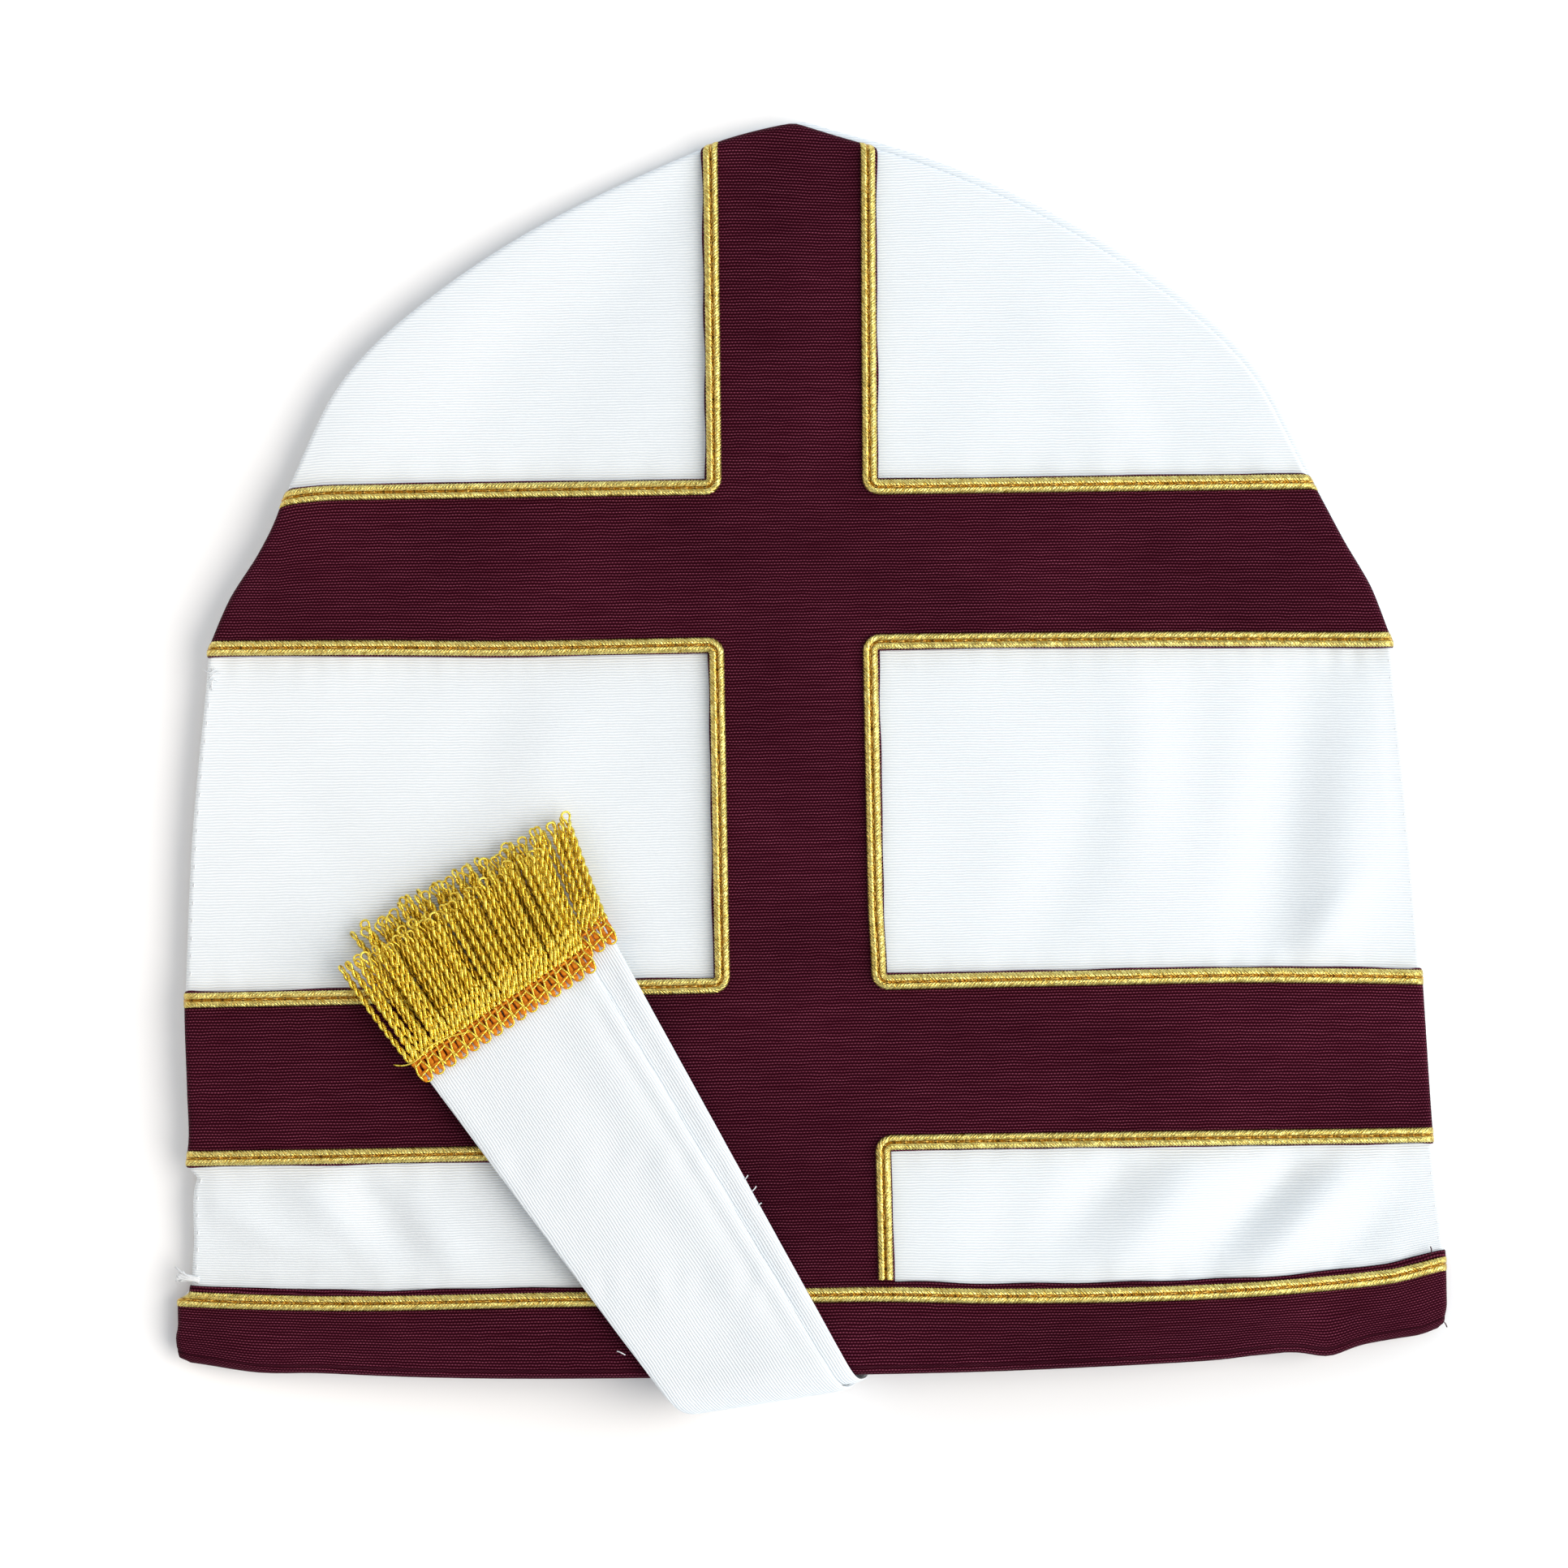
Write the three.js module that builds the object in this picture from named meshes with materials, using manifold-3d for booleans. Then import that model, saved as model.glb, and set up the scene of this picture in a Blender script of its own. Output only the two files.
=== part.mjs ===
// A cloth mitre lying on its back, with its two lappets folded up over the front.
// Millimetres. +X is to the right of the front, +Y towards the peak and +Z up out of the front.
// A height on the front is given as its drop, the distance below the peak.
import * as THREE from "three";
import Module from "manifold-3d";

const wasm = await Module();
wasm.setup();

// Driving dimensions
const baseHalf = 150; // half the width along the brow
const rimDrop = 296; // peak to the brow edge, at the middle
const peakY = 152; // puts the origin under the middle of the whole
const shoulderDrop = 124; // where the arch of the horn meets the sides
const wall = 2; // each panel, cloth with its interfacing
const trimWall = 0.8; // the applied cross and the brow band
const clearance = 0.3; // between pieces that are sewn together
const crossShift = -1.2; // the cross lies a little left of the panel's middle
const barPitch = 37.2; // braid to braid across the band and the bars
const upperBarDrop = 104.8; // middle of the upper bar
const lowerBarDrop = 223; // middle of the lower bar
const braidWidth = 3.5;
const braidHeight = 1.4;
const braidCorner = 2.2; // radius of a braid's bend, along its middle
const trimEdge = 2.1; // from a braid's middle to the raw edge of the cross
const browBraidDrop = 277.8; // middle of the braid along the brow
const browEdge = 3.05; // from that braid's middle up to the band's raw edge
const browTurn = 8; // how far the brow band is turned in over the rim
const lappetWall = 1.2;
const lappetEndWidth = 46.8;
const lappetFoldWidth = 35;
const foldTurn = THREE.MathUtils.degToRad(8.3); // the lappets' fold line against the brow
const headingDepth = 6.8; // the fringe's heading, along the lappet
const headingOverhang = 1.3; // past each side of the lappet
const headingLap = 2.2; // how far the lappet's cloth runs under its heading
const headingHeight = 1.2;
const lockCount = 12;
const lockWall = 1.5;
const lockRoot = 1.2; // how far a lock is let into the heading
const lockRagged = 1.1; // how much the locks' lengths differ

// Heights that follow from them
const panelRim = rimDrop - wall / 2 - clearance - trimWall; // the band's turn reaches the rim
const browTop = browBraidDrop - browEdge;
const backSpace = trimWall + clearance; // the back's brow band lies under it
const crossHalf = barPitch / 2 + trimEdge; // half the cloth's width in the band and in each bar
const crossLift = clearance; // above the front's outer face
const braidLift = crossLift + trimWall + clearance;
const lappetLift = braidLift + braidHeight + clearance;
const lappetStep = lappetWall + clearance;

// Half widths of the horn, from the peak to the shoulder
const horn = [
  { drop: 0, half: 0 },
  { drop: 6.5, half: 22 },
  { drop: 23.6, half: 60.5 },
  { drop: 45.3, half: 93 },
  { drop: 60.4, half: 108 },
  { drop: 85.7, half: 121.8 },
  { drop: 111.8, half: 136.2 },
  { drop: shoulderDrop, half: 140 },
];

// Half widths of the sides, from the shoulder to the round corner at the brow
const sides = [
  { drop: shoulderDrop, half: 140 },
  { drop: 182, half: 144.5 },
  { drop: 244, half: 147.6 },
  { drop: 276, half: baseHalf },
  { drop: 283, half: baseHalf },
  { drop: 287, half: 149 },
  { drop: 290.5, half: 145.5 },
];

// The front stands up over the back: its height in the middle, its fullness from side to side,
// and how gently it rises from the edge of the horn
const archRise = 13.5;
const archPower = 2.4;
const archLength = 110;

// The brow edge rises towards each side, from this drop down
const browCurve = { from: 243, left: 6, right: 8.3, across: 4, down: 1.8 };

// The back panel lies flat, and rises between these drops to make room for its brow band
const backRamp = { from: 190, to: 270 };

// The back panel lies a little to the upper right of the front
const backSlip = { right: 2.2, up: 1, until: 180 };

// Soft folds of the white fields: middle, direction, half length, half width and height of each
const lowerField = { top: 243, bottom: 275 };
const middleField = { top: 126, bottom: 202 };
const folds = [
  { field: lowerField, x: -110, drop: 252, turn: -45, length: 16, width: 8, rise: 1.1 },
  { field: lowerField, x: -137, drop: 261, turn: -49, length: 16, width: 7, rise: -1.1 },
  { field: lowerField, x: 77, drop: 259, turn: 60, length: 20, width: 7, rise: -1.2 },
  { field: lowerField, x: 92, drop: 258, turn: 60, length: 20, width: 8, rise: 1.1 },
  { field: middleField, x: 120, drop: 174, turn: 81, length: 34, width: 9, rise: -1.1 },
];
const foldFade = 6; // a fold dies away this far from the trim

// Rows of the panels below the shoulder, closer where the folds are
const bodyRows = [150, 168, 186, 204, 217, 230, 242, 250, 258, 266, 274, 284, panelRim];
const hornRows = 8; // from the horn's edge down to the first of these
const frontColumns = 28;
const backColumns = 20;

// Where each lappet's cloth meets its heading, and the outermost line of its fold, at mid width
const lappets = [
  { name: "top", endX: -69.8, endDrop: 212, foldX: -11.75, foldDrop: 302.5, order: 1 },
  { name: "under", endX: -65.2, endDrop: 204.7, foldX: -7.85, foldDrop: 300.6, order: 0 },
];
const innerBend = 6.8; // bend of the under lappet at its mid wall
const tailLength = 14; // sewn flat inside the back's brow band
const lappetSteps = { front: 12, bend: 4, wall: 1, tail: 2, across: 6 };

// Each fringe: lean of its outer locks from the lappet's line, lengths, and height above the front
const fringes = {
  top: {
    leanLeft: 0.6,
    leanRight: -6,
    length: 27,
    heading: 6.1,
    droop: [
      { along: 0, base: 6.4 },
      { along: 8, base: 6.4 },
      { along: 16, base: 5.5 },
      { along: 27, base: 5.1 },
    ],
  },
  under: {
    leanLeft: 1,
    leanRight: -7.5,
    length: 28.5,
    heading: 4.6,
    droop: [
      { along: 0, base: 4.5 },
      { along: 6, base: 3.9 },
      { along: 13, base: 3.3 },
      { along: 28, base: 3.15 },
    ],
  },
};

const white = new THREE.MeshStandardMaterial({ color: 0xf0f6f8, roughness: 0.75 });
const burgundy = new THREE.MeshStandardMaterial({ color: 0x441724, roughness: 0.8 });
const goldBraid = new THREE.MeshStandardMaterial({ color: 0xbea54e, roughness: 0.4, metalness: 0.5 });
const goldFringe = new THREE.MeshStandardMaterial({ color: 0xb99538, roughness: 0.4, metalness: 0.5 });

// A smooth curve through a table's rows that never overshoots them
function smoothTable(rows, from, to) {
  const at = rows.map((row) => row[from]);
  const value = rows.map((row) => row[to]);
  const last = at.length - 1;
  const secant = value.slice(1).map((v, k) => (v - value[k]) / (at[k + 1] - at[k]));
  const slope = value.map((v, k) => {
    if (k === 0) return secant[0];
    if (k === last) return secant[last - 1];
    const product = secant[k - 1] * secant[k];
    return product <= 0 ? 0 : (2 * product) / (secant[k - 1] + secant[k]);
  });
  return (x) => {
    if (x <= at[0]) return value[0];
    if (x >= at[last]) return value[last];
    const k = at.findIndex((a) => a > x) - 1;
    const span = at[k + 1] - at[k];
    const t = (x - at[k]) / span;
    const step = (value[k + 1] - value[k]) * t * t * (3 - 2 * t);
    const bow = span * t * (1 - t) * (slope[k] * (1 - t) - slope[k + 1] * t);
    return value[k] + step + bow;
  };
}

const hornHalf = smoothTable(horn, "drop", "half");
const hornEdge = smoothTable(horn, "half", "drop");
const sideHalf = smoothTable(sides, "drop", "half");
const { smoothstep, clamp, lerp, degToRad } = THREE.MathUtils;

function halfWidth(drop) {
  return drop < shoulderDrop ? hornHalf(drop) : sideHalf(drop);
}

// A level line of the front near the brow, lifted towards the sides as the brow edge is
function browLevel(drop, x) {
  const down = Math.max(0, drop - browCurve.from) / (rimDrop - browCurve.from);
  const lift = x < 0 ? browCurve.left : browCurve.right;
  return drop - lift * Math.abs(x / baseHalf) ** browCurve.across * down ** browCurve.down;
}

// Height of the soft folds, which die away at the trim round their field and at the side seams
function foldHeight(x, drop) {
  const inside = smoothstep(halfWidth(drop) - Math.abs(x), 0, 2 * foldFade);
  return folds.reduce((sum, fold) => {
    const { top, bottom } = fold.field;
    const below = smoothstep(drop, top, top + foldFade);
    const fade = inside * below * smoothstep(bottom - drop, 0, foldFade);
    const turn = degToRad(fold.turn);
    const right = x - fold.x;
    const up = fold.drop - drop;
    const along = (right * Math.cos(turn) + up * Math.sin(turn)) / fold.length;
    const across = (up * Math.cos(turn) - right * Math.sin(turn)) / fold.width;
    return sum + fade * fold.rise * Math.exp(-along * along - across * across);
  }, 0);
}

// Faces of the two panels
function backUnder(drop) {
  return backSpace * smoothstep(drop, backRamp.from, backRamp.to);
}

function frontUnder(x, drop) {
  const across = Math.min(1, Math.abs(x) / sideHalf(drop));
  const below = Math.max(0, drop - hornEdge(Math.abs(x)));
  const dome = archRise * (1 - across ** archPower) * (1 - Math.exp(-below / archLength));
  return backUnder(drop) + wall + clearance + dome + foldHeight(x, drop);
}

function frontTop(x, drop) {
  return frontUnder(x, drop) + wall;
}

function pointAt(x, drop, z) {
  return new THREE.Vector3(x, peakY - drop, z);
}

// Columns from -1 to 1, closer together towards the sides
function columnsOf(count) {
  return Array.from({ length: count + 1 }, (_, k) => Math.sin((Math.PI / 2) * ((2 * k) / count - 1)));
}

function geometryFrom(vertices, triangles) {
  const geometry = new THREE.BufferGeometry().setFromPoints(vertices);
  geometry.setIndex(triangles);
  geometry.computeVertexNormals();
  return geometry;
}

// A closed cloth wall over the cells of a grid, between an upper and a lower point at each grid corner.
// Columns run to the right and rows run down the front.
function clothWall(columnCount, rowCount, corner, hasCell = () => true) {
  const vertices = [];
  const triangles = [];
  const known = new Map();
  const inGrid = (i, j) => i >= 0 && j >= 0 && i < columnCount && j < rowCount;
  const cell = (i, j) => inGrid(i, j) && hasCell(i, j);
  const vertex = (i, j, side) => {
    const key = `${i},${j},${side}`;
    if (!known.has(key)) {
      known.set(key, vertices.length);
      vertices.push(corner(i, j)[side]);
    }
    return known.get(key);
  };
  const upper = (p) => vertex(p[0], p[1], "upper");
  const lower = (p) => vertex(p[0], p[1], "lower");
  for (let j = 0; j < rowCount; j += 1) {
    for (let i = 0; i < columnCount; i += 1) {
      if (!cell(i, j)) continue;
      const loop = [[i, j], [i, j + 1], [i + 1, j + 1], [i + 1, j]];
      const beside = [cell(i - 1, j), cell(i, j + 1), cell(i + 1, j), cell(i, j - 1)];
      const [a, b, c, d] = loop;
      triangles.push(upper(a), upper(b), upper(c), upper(a), upper(c), upper(d));
      triangles.push(lower(a), lower(c), lower(b), lower(a), lower(d), lower(c));
      loop.forEach((p, k) => {
        if (beside[k]) return;
        const q = loop[(k + 1) % loop.length];
        triangles.push(upper(p), lower(p), lower(q), upper(p), lower(q), upper(q));
      });
    }
  }
  return geometryFrom(vertices, triangles);
}

// A closed solid through equal rings of points, capped at both ends
function ringSolid(rings) {
  const size = rings[0].length;
  const triangles = [];
  for (let r = 0; r < rings.length - 1; r += 1) {
    for (let k = 0; k < size; k += 1) {
      const a = r * size + k;
      const b = r * size + ((k + 1) % size);
      triangles.push(a, b, b + size, a, b + size, a + size);
    }
  }
  const end = (rings.length - 1) * size;
  for (let k = 1; k < size - 1; k += 1) {
    triangles.push(0, k + 1, k);
    triangles.push(end, end + k, end + k + 1);
  }
  return geometryFrom(rings.flat(), triangles);
}

// Corner of a panel's grid: rows follow the horn's edge at the top and lie level below the shoulder
function panelPlan(column, row) {
  if (row <= hornRows) {
    const edge = hornEdge(Math.abs(column) * sides[0].half);
    const drop = lerp(edge, bodyRows[0], row / hornRows);
    return { x: column * sideHalf(drop), drop };
  }
  const drop = browLevel(bodyRows[row - hornRows], column * baseHalf);
  return { x: column * sideHalf(drop), drop };
}

function frontPanel() {
  const columns = columnsOf(frontColumns);
  return clothWall(frontColumns, hornRows + bodyRows.length - 1, (i, j) => {
    const { x, drop } = panelPlan(columns[i], j);
    return { upper: pointAt(x, drop, frontTop(x, drop)), lower: pointAt(x, drop, frontUnder(x, drop)) };
  });
}

function backPanel() {
  const columns = columnsOf(backColumns);
  return clothWall(backColumns, hornRows + bodyRows.length - 1, (i, j) => {
    const { x, drop } = panelPlan(columns[i], j);
    const slip = 1 - smoothstep(drop, 0, backSlip.until);
    const backX = x + backSlip.right * slip;
    const backDrop = drop - backSlip.up * slip;
    const under = backUnder(drop);
    return { upper: pointAt(backX, backDrop, under + wall), lower: pointAt(backX, backDrop, under) };
  });
}

// The cross: its band fills the middle columns, and its bars run out to both edges
function frontCross() {
  const armCells = 7;
  const bandCells = 3;
  const barCells = 3;
  const spread = (from, to, count) => Array.from({ length: count }, (_, k) => lerp(from, to, k / count));
  const upper = [upperBarDrop - crossHalf, upperBarDrop + crossHalf];
  const lower = [lowerBarDrop - crossHalf, lowerBarDrop + crossHalf];
  const end = browTop - clearance;
  const topRow = 14; // below the first row, which follows the peak
  const rows = [
    0,
    ...spread(topRow, upper[0], 4),
    ...spread(upper[0], upper[1], barCells),
    ...spread(upper[1], lower[0], 4),
    ...spread(lower[0], lower[1], barCells),
    ...spread(lower[1], end, 2),
    end,
  ];
  const columnCount = 2 * armCells + bandCells;
  const left = crossShift - crossHalf;
  const right = crossShift + crossHalf;
  const place = (i, j) => {
    const inBand = lerp(left, right, clamp((i - armCells) / bandCells, 0, 1));
    const drop = j === 0 ? hornEdge(Math.abs(inBand)) + clearance : browLevel(rows[j], inBand);
    if (i < armCells) return { x: lerp(-halfWidth(drop), left, i / armCells), drop };
    const past = i - armCells - bandCells;
    if (past > 0) return { x: lerp(right, halfWidth(drop), past / armCells), drop };
    return { x: inBand, drop };
  };
  const inBar = (j) => [upper, lower].some(([top, bottom]) => rows[j] >= top && rows[j] < bottom);
  const hasCell = (i, j) => inBar(j) || (i >= armCells && i < armCells + bandCells);
  return clothWall(columnCount, rows.length - 1, (i, j) => {
    const { x, drop } = place(i, j);
    const z = frontTop(x, drop) + crossLift;
    return { upper: pointAt(x, drop, z + trimWall), lower: pointAt(x, drop, z) };
  }, hasCell);
}

// The brow band lies on a panel's outer face, rounds its rim and is turned in
// except at the side seams. The back's band is the same with its outer face down.
function browBand(outerFace, outward) {
  const columns = columnsOf(16);
  const openColumns = 0.87; // the turn-in stops here, short of the side seams
  const flatRows = [browTop, browBraidDrop, lerp(browBraidDrop, panelRim, 0.5), panelRim];
  const turnSteps = 4;
  const turnInRows = 1;
  const rowCount = flatRows.length - 1 + turnSteps + turnInRows;
  const middle = wall / 2; // the rim turns about the middle of the panel's wall
  const inner = middle + clearance;
  const outer = inner + trimWall;
  const corner = (i, j) => {
    const column = columns[i];
    const flat = j < flatRows.length;
    const turn = flat ? 0 : Math.min(Math.PI, ((j - flatRows.length + 1) / turnSteps) * Math.PI);
    const back = j === rowCount ? browTurn : 0;
    const level = browLevel(flatRows[Math.min(j, flatRows.length - 1)], column * baseHalf);
    const x = column * sideHalf(level);
    const axis = outerFace(x, level) - outward * middle;
    const ring = (radius) => {
      const drop = level + radius * Math.sin(turn) - back;
      return pointAt(x, drop, axis + outward * radius * Math.cos(turn));
    };
    const [upper, lower] = outward > 0 ? [outer, inner] : [inner, outer];
    return { upper: ring(upper), lower: ring(lower) };
  };
  const halfTurn = flatRows.length - 1 + turnSteps / 2;
  const hasCell = (i, j) => {
    const widest = Math.max(Math.abs(columns[i]), Math.abs(columns[i + 1]));
    return j < halfTurn || widest <= openColumns;
  };
  return clothWall(columns.length - 1, rowCount, corner, hasCell);
}

// A route of straight runs with round corners, as places with a heading in the plan
function roundRoute(corners, radius, step = 18) {
  const places = [];
  const run = (from, to) => {
    const heading = to.clone().sub(from).normalize();
    const count = Math.max(1, Math.ceil(from.distanceTo(to) / step));
    for (let k = 0; k <= count; k += 1) {
      places.push({ at: from.clone().lerp(to, k / count), heading });
    }
  };
  let from = corners[0];
  for (let c = 1; c < corners.length; c += 1) {
    const corner = corners[c];
    const next = corners[c + 1];
    if (!next) {
      run(from, corner);
      break;
    }
    const into = corner.clone().sub(corners[c - 1]).normalize();
    const away = next.clone().sub(corner).normalize();
    const start = corner.clone().addScaledVector(into, -radius);
    const center = start.clone().addScaledVector(away, radius);
    run(from, start);
    const bendSteps = 4;
    for (let k = 1; k < bendSteps; k += 1) {
      const angle = (k / bendSteps) * (Math.PI / 2);
      const spoke = away.clone().multiplyScalar(-Math.cos(angle)).addScaledVector(into, Math.sin(angle));
      const heading = into.clone().multiplyScalar(Math.cos(angle)).addScaledVector(away, Math.sin(angle));
      places.push({ at: center.clone().addScaledVector(spoke, radius), heading });
    }
    from = corner.clone().addScaledVector(away, radius);
  }
  return places;
}

// A braid: two ribs with a groove between them, carried along a route over the front
function braidAlong(places) {
  const side = braidWidth / 2;
  const rib = side * 0.55;
  const profile = [
    { across: side, up: 0 },
    { across: side, up: braidHeight * 0.5 },
    { across: rib, up: braidHeight },
    { across: 0, up: braidHeight * 0.7 },
    { across: -rib, up: braidHeight },
    { across: -side, up: braidHeight * 0.5 },
    { across: -side, up: 0 },
  ];
  const rings = places.map(({ at, heading }) =>
    profile.map(({ across, up }) => {
      const x = at.x + heading.y * across;
      const drop = at.y - heading.x * across;
      return pointAt(x, drop, frontTop(x, drop) + braidLift + up);
    }),
  );
  return ringSolid(rings);
}

// The seven braids of the front, in x and drop
function braidRoutes() {
  const at = (x, drop) => new THREE.Vector2(x, drop);
  const bandSide = (side) => crossShift + (side * barPitch) / 2;
  const seam = (side, drop) => at(side * (halfWidth(drop) - clearance), drop);
  const upperTop = upperBarDrop - barPitch / 2;
  const upperBottom = upperBarDrop + barPitch / 2;
  const lowerTop = lowerBarDrop - barPitch / 2;
  const lowerBottom = lowerBarDrop + barPitch / 2;
  const routes = {};
  [["left", -1], ["right", 1]].forEach(([word, side]) => {
    const x = bandSide(side);
    const peakEnd = hornEdge(Math.abs(x) + braidWidth / 2) + clearance;
    const browEnd = browTop - clearance;
    const corners = {
      upper: [at(x, peakEnd), at(x, upperTop), seam(side, upperTop)],
      middle: [seam(side, upperBottom), at(x, upperBottom), at(x, lowerTop), seam(side, lowerTop)],
      lower: [seam(side, lowerBottom), at(x, lowerBottom), at(x, browEnd)],
    };
    Object.entries(corners).forEach(([field, points]) => {
      routes[`${field}_${word}`] = roundRoute(points, braidCorner);
    });
  });
  const steps = 18;
  const along = (k) => {
    const x = ((2 * k) / steps - 1) * (baseHalf - clearance);
    return at(x, browLevel(browBraidDrop, x));
  };
  routes.brow = Array.from({ length: steps + 1 }, (_, k) => {
    const heading = along(k + 0.5).sub(along(k - 0.5)).normalize();
    return { at: along(k), heading };
  });
  return routes;
}

// The line of a lappet in the plan, in x and drop
function lappetLine({ endX, endDrop, foldX, foldDrop }) {
  const end = new THREE.Vector2(endX, endDrop);
  const fold = new THREE.Vector2(foldX, foldDrop);
  const back = fold.clone().sub(end).normalize(); // from its end towards its fold
  const across = new THREE.Vector2(back.y, -back.x); // to its right
  return { end, fold, back, across, reach: end.distanceTo(fold) };
}

// A lappet: flat along the front, round the front's rim in a soft bend and flat again inside the mouth.
// Its cloth is a straight strip that is rolled about the fold line, at an angle to it.
function lappet(row) {
  const { end, fold, back, across, reach } = lappetLine(row);
  const bend = innerBend + row.order * lappetStep;
  const lift = lappetLift + row.order * lappetStep + lappetWall / 2;
  const tailUp = backSpace + wall + clearance + trimWall + clearance;
  const tailZ = tailUp + lappetWall / 2 + (1 - row.order) * lappetStep;
  const foldAlong = new THREE.Vector2(Math.cos(foldTurn), -Math.sin(foldTurn));
  const foldUp = new THREE.Vector2(-Math.sin(foldTurn), -Math.cos(foldTurn)); // up the front
  const origin = fold.clone().addScaledVector(foldUp, lappetWall / 2);
  const plan = (a, n) => origin.clone().addScaledVector(foldAlong, a).addScaledVector(foldUp, n);
  const topZ = (p) => frontTop(p.x, p.y) + lift;
  const quarter = (bend * Math.PI) / 2;
  // A point of the rolled strip: a along the fold, b up from it before rolling, out of its mid wall
  const rolled = (a, b, out) => {
    if (b >= bend) {
      const p = plan(a, b);
      return pointAt(p.x, p.y, topZ(p) + out);
    }
    const startZ = topZ(plan(a, bend));
    const upright = startZ - tailZ - 2 * bend;
    const past = bend - b;
    let n = 0;
    let z = 0;
    if (past < quarter) {
      const angle = past / bend;
      n = bend - (bend + out) * Math.sin(angle);
      z = startZ - bend + (bend + out) * Math.cos(angle);
    } else if (past < quarter + upright) {
      n = -out;
      z = startZ - bend - (past - quarter);
    } else if (past < 2 * quarter + upright) {
      const angle = (past - quarter - upright) / bend;
      n = bend - (bend + out) * Math.cos(angle);
      z = tailZ + bend - (bend + out) * Math.sin(angle);
    } else {
      n = bend + past - 2 * quarter - upright;
      z = tailZ - out;
    }
    const p = plan(a, n);
    return pointAt(p.x, p.y, z);
  };
  const slant = -back.dot(foldUp); // how fast the strip nears its fold line
  const uprightMid = topZ(plan(0, bend)) - tailZ - 2 * bend;
  const bendStart = reach - bend / slant;
  const lengths = [
    { steps: lappetSteps.front, length: bendStart + headingLap },
    { steps: lappetSteps.bend, length: quarter / slant },
    { steps: lappetSteps.wall, length: uprightMid / slant },
    { steps: lappetSteps.bend, length: quarter / slant },
    { steps: lappetSteps.tail, length: tailLength / slant },
  ];
  const stations = [-headingLap];
  lengths.forEach(({ steps, length }) => {
    const from = stations[stations.length - 1];
    for (let k = 1; k <= steps; k += 1) stations.push(from + (length * k) / steps);
  });
  const taper = (lappetFoldWidth - lappetEndWidth) / reach;
  const corner = (i, j) => {
    const s = stations[j];
    const width = lappetEndWidth + taper * s;
    const place = end.clone().addScaledVector(back, s);
    place.addScaledVector(across, width * (i / lappetSteps.across - 0.5)).sub(origin);
    const a = place.dot(foldAlong);
    const b = place.dot(foldUp);
    return { upper: rolled(a, b, lappetWall / 2), lower: rolled(a, b, -lappetWall / 2) };
  };
  return clothWall(lappetSteps.across, stations.length - 1, corner);
}

function solidFrom(geometry) {
  const vertProperties = new Float32Array(geometry.getAttribute("position").array);
  const triVerts = new Uint32Array(geometry.index.array);
  return new wasm.Manifold(new wasm.Mesh({ numProp: 3, vertProperties, triVerts }));
}

function geometryOf(solid) {
  const mesh = solid.getMesh();
  const geometry = new THREE.BufferGeometry();
  geometry.setAttribute("position", new THREE.BufferAttribute(mesh.vertProperties, 3));
  geometry.setIndex(new THREE.BufferAttribute(mesh.triVerts, 1));
  geometry.computeVertexNormals();
  return geometry;
}

// A fringe: a heading bar over the lappet's end with a row of locks fused to its far side
function fringe(row, { leanLeft, leanRight, length, heading, droop }) {
  const { end, back, across } = lappetLine(row);
  const outward = back.clone().negate();
  const droopBase = smoothTable(droop, "along", "base");
  const ring = (center, side, half, base, height) => {
    const shoulder = half * 0.6;
    const profile = [
      { off: half, up: height * 0.3 },
      { off: shoulder, up: height },
      { off: -shoulder, up: height },
      { off: -half, up: height * 0.3 },
      { off: -shoulder, up: 0 },
      { off: shoulder, up: 0 },
    ];
    return profile.map(({ off, up }) => {
      const p = center.clone().addScaledVector(side, off);
      return pointAt(p.x, p.y, frontTop(p.x, p.y) + base + up);
    });
  };
  const barHalf = lappetEndWidth / 2 + headingOverhang;
  const barSteps = 4;
  const barRings = Array.from({ length: barSteps + 1 }, (_, k) => {
    const place = end.clone().addScaledVector(outward, headingDepth / 2);
    place.addScaledVector(across, lerp(-barHalf, barHalf, k / barSteps));
    return ring(place, outward, headingDepth / 2, heading, headingHeight);
  });
  let solid = solidFrom(ringSolid(barRings));
  const lockPitch = (2 * barHalf) / lockCount;
  for (let k = 0; k < lockCount; k += 1) {
    const share = (k + 0.5) / lockCount; // from the right side to the left
    const lean = degToRad(lerp(leanRight, leanLeft, share));
    const way = outward.clone().rotateAround(new THREE.Vector2(), -lean);
    const side = new THREE.Vector2(way.y, -way.x);
    const root = end.clone().addScaledVector(outward, headingDepth - lockRoot);
    root.addScaledVector(across, lerp(barHalf, -barHalf, share));
    const reach = length + lockRagged * Math.sin(2.4 * k);
    const stations = [
      { along: 0, half: 0.42 },
      { along: reach * 0.35, half: 0.44 },
      { along: reach * 0.7, half: 0.46 },
      { along: reach * 0.92, half: 0.4 },
      { along: reach, half: 0.2 },
    ];
    const rings = stations.map(({ along, half }) => {
      const center = root.clone().addScaledVector(way, along);
      return ring(center, side, half * lockPitch, droopBase(along), lockWall);
    });
    solid = solid.add(solidFrom(ringSolid(rings)));
  }
  return geometryOf(solid);
}

const mitre = new THREE.Group();

function addPiece(name, geometry, material) {
  const mesh = new THREE.Mesh(geometry, material);
  mesh.name = name;
  mitre.add(mesh);
}

addPiece("back_panel", backPanel(), white);
addPiece("front_panel", frontPanel(), white);
addPiece("front_cross", frontCross(), burgundy);
addPiece("brow_band_front", browBand(frontTop, 1), burgundy);
addPiece("brow_band_back", browBand((x, drop) => backUnder(drop), -1), burgundy);
Object.entries(braidRoutes()).forEach(([name, route]) => {
  addPiece(`braid_${name}`, braidAlong(route), goldBraid);
});
lappets.forEach((row) => {
  addPiece(`lappet_${row.name}`, lappet(row), white);
  addPiece(`fringe_${row.name}`, fringe(row, fringes[row.name]), goldFringe);
});

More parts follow.
